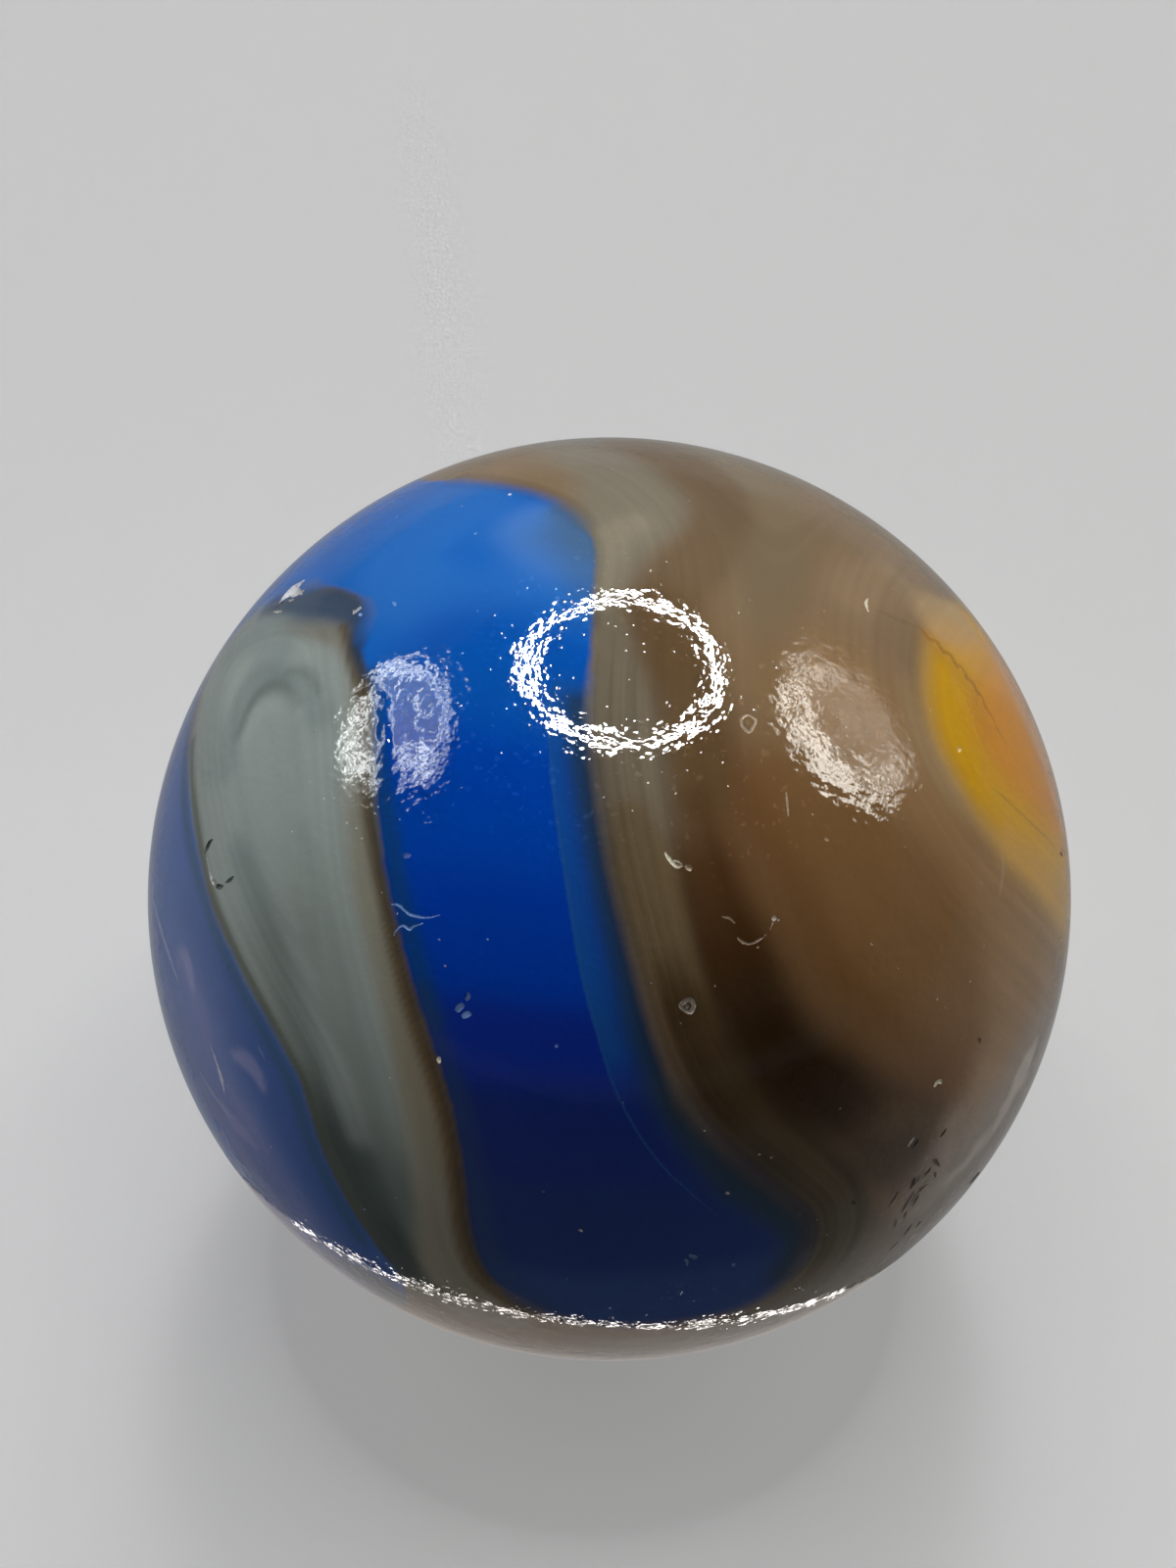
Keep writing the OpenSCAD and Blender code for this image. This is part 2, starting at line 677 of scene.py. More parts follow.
# %% Outline of the blue glass
BLUE_EDGE = (
    # up the ribbon's left side
    (-3, -26.3), (-10.5, -23), (-15.2, -16.5), (-16.8, -9), (-17.3, -1), (-18.4, 7), (-20.7, 14),
    (-24.1, 20.5), (-28.6, 28), (-33, 34), (-39, 41.2),
    # over the top of the pool and round its far end
    (-47.2, 48.6), (-52.6, 52), (-57, 53.7), (-61.4, 54.7), (-66, 55.6), (-69.6, 56.8),
    (-73.4, 58.4), (-78.7, 58.7), (-84, 57.4), (-88.5, 55.7), (-92.4, 53.4), (-95.6, 51),
    (-99.5, 46.5), (-103.5, 41), (-105, 35), (-102, 30), (-96, 28),
    # back under the pool to its mouth
    (-89, 27), (-80, 25.5), (-72, 23.5), (-66, 21.2), (-60.8, 18.7), (-55, 16.2), (-50.6, 13.8),
    (-46.4, 11.4), (-42.8, 8.6), (-40, 5.6), (-38.3, 1.6), (-36.9, -2.5), (-35.1, -6.8), (-33, -12),
    (-30.5, -17.5),
    # underneath and up behind
    (-28.5, -24), (-32, -34), (-48, -45), (-78, -52), (-112, -50), (-140, -38), (-156, -18),
    (-162, 5), (-157, 28), (-146, 44), (-136, 54),
    # over the crown
    (-131.5, 60), (-130, 66), (-128.5, 71), (-127, 76.5), (-122, 81.5), (-106, 85), (-41, 86),
    (-13.5, 83), (-8, 77), (-6, 70),
    # down the ribbon's right side and round its tip
    (-5.4, 63.5), (-4.8, 57.5), (-2.8, 50.4), (-0.3, 41.2), (2.4, 32), (5.6, 20.3), (9.2, 11.5),
    (14.8, 3.6), (20.8, -3.8), (24.2, -8.5), (25.2, -13.5), (24.2, -19), (19.5, -25), (9, -27.2),
)
BLUE_PLACE = (-10, 25)
print("places round the blue glass:", len(BLUE_EDGE))

# %% [markdown]
# ## The pale band in the ribbon
#
# Along the ribbon's right side the blue lies thinner over the brown glass, so it looks paler and
# greener there. The band has a crisp inner edge, so it gets an outline of its own. Its outer edge
# lies out in the brown, where the blue glass has ended already.

# %% Outline of the pale band
BAND_EDGE = (
    (-15, 62), (-13, 56.5), (-10.6, 51), (-8.6, 45.5), (-5.9, 37), (-3.6, 28), (-1.8, 22),
    (0.4, 15), (3.1, 9), (6, 4), (10, -1), (19, 1), (22, 12), (16, 28), (12, 44), (8, 58), (-2, 66),
)
BAND_PLACE = (2, 25)
print("places round the pale band:", len(BAND_EDGE))

# %% [markdown]
# ## The yellow patch
#
# A patch of yellow and orange glass looks round the right side of the ball. It closes behind,
# where nobody looks, in the plainest way that its visible edge allows.

# %% Outline of the yellow glass
YELLOW_EDGE = (
    (62.3, 35), (63.2, 40), (66.6, 43.8), (72.6, 46.6), (82, 47.6), (94, 45), (106, 39), (116, 30),
    (124, 18), (122, 2), (112, -8), (98, -9), (87, -3), (79.5, 4.5), (74, 11.5), (69.2, 18.5),
    (65, 25), (62.8, 30),
)
YELLOW_PLACE = (88, 30)
print("places round the yellow glass:", len(YELLOW_EDGE))

# %% [markdown]
# ## Streams of colour
#
# Soft colour is laid the way it ran: as streams. A stream is a colour, a strength, a softness and
# a course. Each place of a course has a bearing, a height and a half width, and in some streams a
# share of the strength too. Later streams flow over earlier ones. The glass inside the blue edge
# and the glass outside it are painted apart, so the edge between them can stay crisp however soft
# the streams are. The first streams are those of the crown and the far right, which lie in rings
# round the tip of the blue glass.

# %% Streams of the crown and the far right
STONE = (0.212, 0.183, 0.134)
MUD = (0.16, 0.105, 0.056)
SAND = (0.21, 0.155, 0.09)
TAUPE = (0.23, 0.155, 0.085)
CROWN_REFLECTION_STONE = (0.34, 0.30, 0.21)

CROWN_STREAMS = (
    (STONE, 1.0, 8, ((170, 60, 12), (150, 77, 9), (60, 87, 4), (0, 85, 4), (-4, 74, 4), (-1, 62, 4))),
    (MUD, 0.9, 5, (
        (170, 66, 3), (140, 73, 3), (105, 75.5, 2.5), (70, 76.5, 2.5), (38, 76, 2.5), (24, 72, 2.5),
        (19, 65, 2),
    )),
    (SAND, 0.8, 5, (
        (150, 58, 4), (125, 64, 3), (100, 67.5, 2.5), (76, 69.5, 2.5), (57, 67.5, 2), (46, 60, 1),
    )),
    (TAUPE, 0.8, 4, ((125, 56, 2), (105, 61, 1.5), (85, 62, 1.5), (68, 58, 2), (58, 52, 2))),
    # a pale band over the top: painted reflection of the dim haze above the ball
    (CROWN_REFLECTION_STONE, 0.4, 4, ((60, 86.5, 0.5), (0, 84.8, 1), (-4, 80, 0.6), (-3, 75, 0.2))),
)
print("crown streams:", len(CROWN_STREAMS))

# %% [markdown]
# ## The warm cloud
#
# The middle right is a soft brown cloud with no edge at all, redder and darker towards the ribbon.
# Three wide streams with long, soft sides melt into it.

# %% Streams of the warm cloud
FAWN = (0.285, 0.165, 0.072)
CARAMEL = (0.20, 0.107, 0.041)
RUSSET = (0.14, 0.064, 0.021)

CLOUD_STREAMS = (
    (FAWN, 0.95, 12, ((50, 54, 3), (55, 42, 4), (57, 28, 5), (58, 14, 6), (62, 0, 6))),
    (CARAMEL, 1.0, 10, ((30, 46, 2), (35, 38, 5), (40, 28, 7), (44, 18, 6), (47, 9, 2))),
    (RUSSET, 0.7, 7, (
        (19, 54, 1), (21.5, 44, 1.5), (23.5, 36, 2), (27, 26, 2), (32, 17, 2), (39, 8, 1.5),
        (45, 3, 1),
    )),
)
print("cloud streams:", len(CLOUD_STREAMS))

# %% [markdown]
# ## The dark streak and the striped band
#
# Beside the ribbon runs a band of olive and grey stripes, and beyond it a dark streak that widens
# into a dark hollow low on the right. Each stripe is a narrow stream whose strength swells and
# fades along its course, because on the glass no stripe keeps one darkness for long.

# %% Streams beside the ribbon
BARK = (0.12, 0.072, 0.032)
DARK_RUSSET = (0.054, 0.019, 0.003)
UMBER = (0.022, 0.010, 0.0032)
DEEP_MOSS = (0.07, 0.048, 0.03)
KHAKI = (0.178, 0.148, 0.102)
OLIVE = (0.152, 0.108, 0.055)
DULL_OLIVE = (0.066, 0.040, 0.017)
DARK_OLIVE = (0.045, 0.027, 0.011)
MOSS = (0.066, 0.049, 0.027)
SMOKE = (0.10, 0.086, 0.057)

STRIPE_STREAMS = (
    (BARK, 0.85, 6, ((18, 72, 2), (18, 64, 3), (17, 56, 2.5), (16, 50, 2))),
    (DARK_RUSSET, 0.85, 5.5, (
        (12.4, 51, 0.2, 0), (13, 46, 1, 0.55), (14.2, 40, 1.6, 0.95), (15.2, 34, 2.2, 1),
        (17, 28, 2.6, 1), (19, 22, 2, 0.6),
    )),
    (UMBER, 0.6, 7, (
        (15, 37, 0.4, 0), (16.4, 30, 1.2, 0.6), (17.6, 25, 2.2, 1), (20, 18, 3.2, 1),
        (24.5, 11.5, 3.6, 1), (30, 6, 3.2, 1), (36, 1.5, 2.6, 1), (41, -2.5, 2, 0.9),
        (44.5, -5.5, 0.6, 0.3),
    )),
    (UMBER, 0.92, 6, (
        (17, 28, 0.4, 0), (18.8, 21, 1.6, 0.8), (22.4, 14, 2.4, 1), (27, 8.6, 2.8, 1),
        (31, 5, 1.6, 0.8), (35, 1, 0.3, 0),
    )),
    (DEEP_MOSS, 0.85, 6, (
        (26.5, 3, 0.5, 0.3), (30, -1, 1.6, 0.9), (34, -3, 1.8, 1), (38, -5.5, 2, 1),
        (40, -10, 1, 0.7), (40, -14, 0.3, 0),
    )),
    (KHAKI, 0.9, 3.6, ((-4, 70, 2), (-1, 61, 4), (2, 53, 4), (3.4, 46, 3.6))),
    (OLIVE, 0.9, 3.4, (
        (3.4, 46, 1), (4.4, 42, 2.4), (5.6, 37, 2.4), (7.2, 31, 2), (8.8, 26, 1.4), (10, 22, 0.4),
    )),
    (DULL_OLIVE, 0.9, 4, (
        (7.2, 32, 0.3, 0), (9.2, 25, 1.2, 1), (11, 19.5, 1.8, 1), (13.4, 14, 1.8, 1),
        (16.5, 9, 1.2, 0.8), (20, 5, 0.2, 0),
    )),
    (DARK_OLIVE, 0.75, 5, (
        (10, 22, 0.3, 0), (13.4, 13.5, 1.4, 0.8), (17.2, 7, 2.2, 1), (21.5, 2, 2.6, 1),
        (26, -3, 1, 0),
    )),
    (MOSS, 0.85, 5, ((17.5, 6, 0.3), (22.5, 0.5, 2.4), (26.5, -5, 3), (28.8, -10, 3.2), (30, -15, 3))),
    (SMOKE, 0.8, 6, ((30, -11, 0.5), (30.5, -16, 3), (29, -21, 4.5), (24, -28, 6))),
)
print("stripe streams:", len(STRIPE_STREAMS))

# %% [markdown]
# ## The grey lower right
#
# Towards the lower right the brown goes grey, partly the glass's own tone and partly a painted
# reflection of the pale floor seen near the rim. Close to the rim a few pale flakes shine out of
# it. The flakes are short streams with narrow sides.

# %% Streams of the lower right
ASH = (0.26, 0.22, 0.185)
PINK_GREY = (0.33, 0.27, 0.235)
PEARL = (0.50, 0.43, 0.375)

FLAKE_STREAMS = (
    # grey towards the rim: partly painted reflection of the floor
    (ASH, 0.75, 12, ((64, -10, 6), (53, -17, 6), (43, -22, 5), (34, -32, 6), (10, -42, 8))),
    (PINK_GREY, 0.35, 4, ((46, -4, 0.3), (44.5, -8, 1.2), (43, -13, 1.4), (41.5, -18, 0.5))),
    (PEARL, 0.85, 1.8, ((65, -4.4, 0.3), (63, -5.8, 1.5), (61, -7.4, 1.5), (59.8, -8.6, 0.3))),
    (PEARL, 0.75, 1.8, ((59.9, -8.4, 0.4), (58.4, -10, 1), (57.2, -11.4, 0.2))),
    (PEARL, 0.5, 1.8, ((57, -11.6, 0.2), (55, -12.2, 0.9), (53, -12.6, 0.9), (51.6, -13.8, 0.2))),
    (PEARL, 0.5, 1.4, ((53.6, -12.4, 0.1), (51.3, -14.1, 0.3), (49.4, -14.3, 0.2), (47.4, -15, 0.1))),
    (PEARL, 0.3, 2.5, ((49.7, -14.9, 0.6), (46.6, -15.5, 1.4), (43.9, -17, 1.2))),
)
print("lower right streams:", len(FLAKE_STREAMS))

# %% [markdown]
# ## The grey pool
#
# The pool is grey-green glass that ran into the C of the blue. It is pale in its middle and
# shaded where it was folded, and thin darker lines inside it follow the fold. It darkens where it
# runs out at the bottom.

# %% Streams of the grey pool
POOL = (0.30, 0.345, 0.325)
POOL_SHADE = (0.215, 0.262, 0.255)
POOL_DARK = (0.10, 0.125, 0.115)
POOL_PALE = (0.35, 0.395, 0.38)
POOL_TAIL = (0.115, 0.13, 0.108)
DEEP_SLATE = (0.035, 0.05, 0.05)

POOL_STREAMS = (
    (POOL, 1.0, 5, (
        (-96, 38, 7), (-84, 40, 12), (-68, 38, 14), (-52, 32, 13), (-42, 20, 11), (-34, 6, 8),
        (-28, -6, 6),
    )),
    (POOL_SHADE, 0.8, 6, ((-101, 37, 3), (-96, 43, 3), (-89, 46, 2.5), (-82, 44, 1.5))),
    (POOL_SHADE, 0.5, 5, ((-96, 33, 2), (-84, 31, 2), (-76, 30, 0.5))),
    (POOL_SHADE, 0.7, 4, (
        (-60, 46.5, 0.3), (-69, 46.6, 0.8), (-76, 44.5, 1), (-79.5, 40.5, 1), (-78, 36, 0.7),
        (-72, 32.5, 0.3),
    )),
    (POOL_DARK, 0.55, 2.0, (
        (-67, 45, 0.05), (-71.4, 44.9, 0.3), (-75, 43.6, 0.5), (-76.8, 41.6, 0.5),
        (-76.4, 39.4, 0.3), (-74.4, 36.8, 0.05),
    )),
    (POOL_DARK, 0.35, 1.3, (
        (-65, 48.4, 0.05), (-69.3, 48.7, 0.2), (-72.4, 47.9, 0.2), (-75.6, 46.2, 0.05),
    )),
    (POOL_PALE, 0.6, 2.4, ((-66, 44.5, 0.1), (-71, 43.5, 0.5), (-74, 40.8, 0.6), (-72.5, 38, 0.2))),
    (POOL_SHADE, 0.75, 4, (
        (-60, 27.5, 0.3), (-51, 23.5, 1), (-45, 19, 1.2), (-40, 12.5, 1.2), (-37, 7, 1),
    )),
    (POOL_TAIL, 0.55, 14, (
        (-46, 21, 0.1), (-40, 13, 0.6), (-34, 5, 1.4), (-29, -3, 2.4), (-25, -12, 3), (-22, -20, 3),
    )),
    (POOL_DARK, 0.75, 8, (
        (-38, 7, 0.1, 0.3), (-33, 1, 1.4, 1), (-28.5, -5, 2.4, 1), (-26, -12, 3, 1),
        (-25, -18, 3, 1),
    )),
    (DEEP_SLATE, 0.75, 4, (
        (-41, 9, 0.1, 0), (-38, 5.5, 0.4, 0.6), (-35.6, 1, 2, 1), (-33, -4, 2.6, 1),
        (-30.6, -11, 2.8, 1), (-28.6, -19, 2.8, 1),
    )),
    (POOL_PALE, 0.35, 3.5, (
        (-72, 38, 0.3), (-65, 36, 1.2), (-58, 32, 1), (-51, 27.5, 0.6), (-44.5, 22.5, 0.4),
        (-39, 16, 0.4), (-34.5, 9.5, 0.4), (-31.5, 2, 0.3),
    )),
    (POOL_DARK, 0.2, 3, (
        (-58, 27.5, 0.05), (-50, 23.4, 0.2), (-43, 17.4, 0.3), (-37.6, 10.4, 0.3), (-34, 4, 0.3),
        (-31, -3, 0.25), (-28.6, -10, 0.1),
    )),
    (POOL_DARK, 0.14, 2.6, (
        (-50, 35, 0.05), (-42, 29, 0.25), (-35.4, 21.6, 0.3), (-30.4, 13.4, 0.3), (-27.4, 5, 0.25),
        (-26, -2, 0.05),
    )),
)
print("pool streams:", len(POOL_STREAMS))

# %% [markdown]
# ## The rim of the pool
#
# Where the pool meets the blue, the two glasses mixed a little. The pool turns buff, then a thin
# brown line follows the edge, with slate grey at the pool's far shoulder. These are the thinnest
# streams, and they are laid last.

# %% Streams along the pool's rim
BUFF = (0.26, 0.235, 0.17)
SHORE_OLIVE = (0.075, 0.085, 0.06)
RIM_BROWN = (0.18, 0.155, 0.11)
RIM_SLATE = (0.036, 0.068, 0.125)
AMBER = (0.09, 0.06, 0.028)

POOL_RIM_STREAMS = (
    (BUFF, 0.75, 3.0, (
        (-66, 54, 0.1, 0), (-58, 52, 0.2, 0.4), (-49.6, 46.8, 0.4, 0.7), (-42, 39.8, 0.5, 0.9),
        (-36.4, 33, 0.6, 1), (-31.6, 26.8, 0.7, 1), (-27.4, 19.6, 0.9, 1), (-24.4, 12.5, 1.1, 1),
        (-22.6, 5, 1.2, 1), (-21.5, -3, 1.2, 1), (-21.2, -11, 1.6, 1), (-20, -18, 3, 1),
        (-16, -26, 4, 1),
    )),
    (SHORE_OLIVE, 0.8, 1.5, (
        (-86, 27.5, 0.1), (-72, 24.4, 0.2), (-62, 20, 0.25), (-55, 17, 0.25), (-47, 12.6, 0.3),
        (-41, 7.6, 0.3), (-37.8, 2.4, 0.3), (-36, -3, 0.3), (-33.6, -9, 0.3), (-31, -16, 0.3),
    )),
    (RIM_BROWN, 0.75, 2.6, (
        (-92, 45, 0.2, 0), (-86, 49, 0.4, 0.5), (-79, 52.2, 0.5, 0.9), (-73, 53.8, 0.4, 0.8),
        (-67, 53.8, 0.2, 0.4), (-61, 52.6, 0.1, 0),
    )),
    (RIM_SLATE, 0.95, 3.2, (
        (-101, 43, 0.6), (-96, 47.5, 1), (-90, 51.5, 1.5), (-84, 54.8, 1.4), (-78, 56.8, 1),
        (-73, 57.4, 0.5), (-69, 56.6, 0.2), (-65, 55.8, 0.05),
    )),
    (AMBER, 0.8, 1.1, (
        (-75, 55, 0.1), (-70.4, 54.8, 0.2), (-65.8, 54.1, 0.3), (-61.2, 53.2, 0.3),
        (-57, 52.2, 0.3), (-53.6, 50.8, 0.1),
    )),
    (AMBER, 0.85, 1.5, (
        (-57, 52.4, 0.1), (-52.6, 50.6, 0.4), (-47.6, 47.2, 0.4), (-39.8, 40.2, 0.4),
        (-33.7, 33.3, 0.4), (-29.5, 27.2, 0.4), (-25.2, 19.9, 0.4), (-21.8, 13.4, 0.4),
        (-19.4, 6.4, 0.4), (-18.3, -1, 0.5), (-17.9, -9, 0.6), (-16.4, -17, 0.8), (-11.7, -23, 1),
    )),
    (RIM_SLATE, 0.9, 1.3, (
        (-75, 57.1, 0.5), (-70.4, 56.1, 0.4), (-66, 55.2, 0.3), (-62, 54.5, 0.15),
        (-58.4, 53.9, 0.05),
    )),
)
EARTH_STREAMS = (
    CROWN_STREAMS + CLOUD_STREAMS + STRIPE_STREAMS + FLAKE_STREAMS + POOL_STREAMS + POOL_RIM_STREAMS
)
print("streams outside the blue glass:", len(EARTH_STREAMS))

# %% [markdown]
# ## The yellow glass
#
# The yellow patch deepens from ochre at its edge through yellow to orange inside. That follows
# the distance from its outline, so the three layers need only the distance at which each begins
# and is full. A few streams over them give the paler and browner places.

# %% Layers and streams of the yellow glass
OCHRE = (0.42, 0.245, 0.06)
YELLOW = (0.59, 0.31, 0.008)
ORANGE = (0.59, 0.235, 0.008)
PALE_OCHRE = (0.55, 0.31, 0.06)
TAN = (0.46, 0.31, 0.14)
PINK_ORANGE = (0.58, 0.36, 0.22)
HALO_TAN = (0.35, 0.245, 0.13)
UPPER_TAN = (0.34, 0.235, 0.135)
PALE_ORANGE = (0.60, 0.30, 0.09)
CRACK_SHADE = (0.42, 0.20, 0.008)

YELLOW_LAYERS = ((OCHRE, -2.5, 1.0), (YELLOW, -0.5, 3.0), (ORANGE, 5.0, 12.0))
YELLOW_STREAMS = (
    (PALE_OCHRE, 0.8, 6, (
        (67, 24, 0.1), (70.5, 18.5, 0.6), (74.5, 12.5, 1.2), (79, 7, 2), (85, 1, 3), (92, -5, 4),
    )),
    (TAN, 0.75, 4.2, (
        (86, 50, 0.1, 0.1), (88, 49.2, 0.5, 0.5), (90, 47.6, 1.8, 1), (94, 44.5, 2.4, 1),
        (98, 41, 1.5, 1),
    )),
    (PINK_ORANGE, 0.65, 5, ((99, 32, 0.5), (95, 27, 1.6), (92, 21, 2), (90, 15, 2))),
    (HALO_TAN, 0.55, 2.6, (
        (72, 50.4, 0.1, 0), (64.6, 46.4, 0.4, 0.8), (61, 41, 0.6, 1), (60.4, 35, 0.5, 0.9),
        (61.8, 29, 0.2, 0.2), (63, 26, 0.1, 0),
    )),
    (UPPER_TAN, 0.4, 6, ((96, 53, 1), (88, 57, 2), (80, 59, 1))),
    (PALE_ORANGE, 0.3, 5, ((87, 46, 0.3), (91, 40, 2), (95, 33, 3), (97, 25, 3), (95, 16, 2))),
    (CRACK_SHADE, 0.35, 3, ((83.5, 47, 0.2), (82, 43, 0.6), (80.6, 39.6, 0.6), (77.5, 36.4, 0.2))),
)
print("streams over the yellow glass:", len(YELLOW_STREAMS))

# %% [markdown]
# ## The blue ribbon
#
# The blue is bright sky blue at the crown and sinks to a deep navy at the ribbon's tip. Part of
# that fade is the glass's own colour and part is painted shade, darker low down than the lamps
# alone make it. Two pale streams near the crown are a painted reflection of the haze above the
# ball. Wide streams laid across the ribbon, one below the other, make that long fade. A last one
# gives the greyer blue round the left side.

# %% Streams down the ribbon
SKY = (0.004, 0.128, 0.52)
CROWN_REFLECTION_BLUE = (0.08, 0.22, 0.56)
CROWN_BLUE = (0.065, 0.14, 0.26)
UPPER_REFLECTION_BLUE = (0.03, 0.175, 0.56)
COBALT = (0.003, 0.092, 0.45)
ROYAL = (0.0005, 0.055, 0.41)
DEEP_BLUE = (0.001, 0.043, 0.385)
INDIGO = (0.006, 0.028, 0.28)
INK = (0.008, 0.024, 0.165)
NAVY = (0.010, 0.032, 0.15)
DULL_BLUE = (0.02, 0.052, 0.18)
SIDE_BLUE = (0.054, 0.13, 0.39)

RIBBON_STREAMS = (
    (SKY, 1.0, 30, ((-125, 50, 14), (-100, 66, 18), (-60, 72, 16), (-35, 70, 10))),
    # a pale band at the top: painted reflection of the haze above the ball
    (CROWN_REFLECTION_BLUE, 0.75, 7, ((-14, 80.5, 0.5), (-35, 80.5, 2), (-80, 81, 2))),
    (CROWN_BLUE, 0.8, 3, ((-12, 82.5, 0.5), (-30, 84.6, 1), (-60, 85.7, 1), (-100, 84.6, 1))),
    (CROWN_BLUE, 0.65, 6, (
        (-8.5, 74, 0.1), (-12, 78, 0.6), (-20, 81, 1), (-38, 82.6, 0.6), (-58, 83, 0.2),
    )),
    # a paler blue below it: painted reflection of the same haze
    (UPPER_REFLECTION_BLUE, 0.6, 8, ((-16, 70, 1), (-34, 71, 3), (-60, 66, 3), (-86, 64, 3), (-112, 70, 4))),
    # downwards from here the blue darkens, partly its own colour and partly painted shade
    (COBALT, 1.0, 12, ((-34, 58, 8), (-12, 58, 8))),
    (ROYAL, 1.0, 10, ((-36, 42, 8), (-4, 42, 8))),
    (DEEP_BLUE, 1.0, 8, ((-28, 28, 7), (4, 28, 7))),
    (INDIGO, 1.0, 6, ((-24, 16, 5), (8, 16, 5))),
    (INK, 1.0, 7, ((-20, 5, 6), (14, 5, 6))),
    (NAVY, 1.0, 8, ((-18, -8, 6), (20, -8, 6))),
    (DULL_BLUE, 1.0, 8, ((-14, -22, 5), (6, -23, 6), (22, -20, 4))),
    (SIDE_BLUE, 1.0, 8, ((-92, 16, 14), (-70, 8, 14), (-50, 0, 12), (-40, -14, 10), (-45, -30, 12))),
)
print("ribbon streams:", len(RIBBON_STREAMS))

# %% [markdown]
# ## The blue at the left, and painted reflections in it
#
# The blue left of the pool is paler and greyer. Lilac and pinkish patches over it are painted
# reflections of the room, and a clearer blue follows the pool's shore.

# %% Streams of the blue at the left, with painted reflections
SHORE_BLUE = (0.034, 0.088, 0.30)
LILAC = (0.17, 0.20, 0.44)
PINK_REFLECTION = (0.24, 0.255, 0.49)

LEFT_BLUE_AND_REFLECTION_STREAMS = (
    (SHORE_BLUE, 0.75, 8, (
        (-66, 15, 0.3), (-54, 10, 1.5), (-45, 4.5, 2.5), (-39, -4, 2.5), (-35, -13, 2),
        (-33, -22, 1.5),
    )),
    # lilac and pink patches: painted reflections of the room in the glass
    (LILAC, 0.45, 9, (
        (-74, 6, 1, 0.1), (-64, 4, 3, 0.8), (-57, -3, 3, 1), (-52, -9, 3, 1.35), (-47, -17, 3, 1.3),
    )),
    (LILAC, 0.5, 2.4, (
        (-66, 7.6, 0.1), (-62.4, 6.8, 0.6), (-60, 5, 1), (-58, 2.4, 0.6), (-57.4, 0.4, 0.1),
    )),
    (PINK_REFLECTION, 0.65, 1.2, ((-66, 9.2, 0.1), (-64.6, 9.3, 0.6), (-63.4, 8.6, 0.5), (-62.2, 7, 0.2))),
    (PINK_REFLECTION, 0.65, 1.4, (
        (-51.6, 3.2, 0.1), (-49.8, 3.7, 0.7), (-48, 3.4, 0.8), (-46.8, 2.4, 0.4), (-46.4, 1.6, 0.1),
    )),
    (PINK_REFLECTION, 0.65, 1.4, (
        (-55.4, -7.2, 0.2), (-53, -8.4, 0.8), (-50.6, -9, 0.6), (-49.4, -9.6, 0.1),
    )),
    (LILAC, 0.4, 2, ((-53, -3, 0.2), (-51, -5, 0.8), (-49, -6.6, 1), (-47.4, -8.6, 0.4))),
    (POOL_TAIL, 0.7, 5, ((-41, -29, 1, 0.6), (-35, -29, 2, 1), (-31, -34, 3, 1))),
)
print("haze streams:", len(LEFT_BLUE_AND_REFLECTION_STREAMS))

# %% [markdown]
# ## The rim of the blue
#
# Just inside its edge the blue turns to a dark teal, as ink does at the edge of a blot. These
# four streams follow the edge, each along one stretch of it.

# %% Streams along the blue's rim
SEAM_TEAL = (0.007, 0.052, 0.18)
LOW_TEAL = (0.02, 0.046, 0.12)
TEAL = (0.02, 0.042, 0.065)
SHORE_TEAL = (0.03, 0.085, 0.16)

BLUE_RIM_STREAMS = (
    (SEAM_TEAL, 0.8, 2.2, (
        (-57.5, 54.4, 0.1), (-52, 52.2, 0.2), (-46, 48.5, 0.3), (-37, 41.3, 0.4), (-31, 34, 0.4),
        (-26.8, 28, 0.4), (-22.5, 20.5, 0.4),
    )),
    (LOW_TEAL, 0.6, 2.6, (
        (-24.5, 23, 0.1), (-19.6, 14, 0.4), (-17.3, 7, 0.5), (-16.1, -1, 0.6), (-15.5, -9, 0.8),
        (-13.5, -16, 1), (-9.5, -21.5, 1),
    )),
    (TEAL, 0.9, 4.4, (
        (-7.5, 60, 0.1), (-4.6, 52, 0.3), (-1.2, 42, 0.5), (1.6, 32, 0.6), (4.6, 20.5, 0.7),
        (8.2, 11.5, 0.8), (13.2, 2.8, 0.8), (18.7, -4, 0.8), (22.4, -8.5, 0.6), (23.6, -13.5, 0.3),
        (22.5, -19, 0.1),
    )),
    (SHORE_TEAL, 0.7, 2, (
        (-98, 27.5, 0.1), (-82, 24.4, 0.2), (-66, 19.6, 0.2), (-56, 15, 0.2), (-47, 9.8, 0.2),
        (-41.4, 4.4, 0.3), (-38.8, -2, 0.3), (-36, -9, 0.3), (-33, -17, 0.3),
    )),
)
SEA_STREAMS = RIBBON_STREAMS + LEFT_BLUE_AND_REFLECTION_STREAMS + BLUE_RIM_STREAMS
print("streams inside the blue glass:", len(SEA_STREAMS))

# %% [markdown]
# ## How soft the blue edge is
#
# The blue edge is crisp in most places and soft in a few, mainly low down and behind. The same
# laying that paints colour can paint a plain number, so softness is laid as streams too: here the
# first value is the softness in degrees.

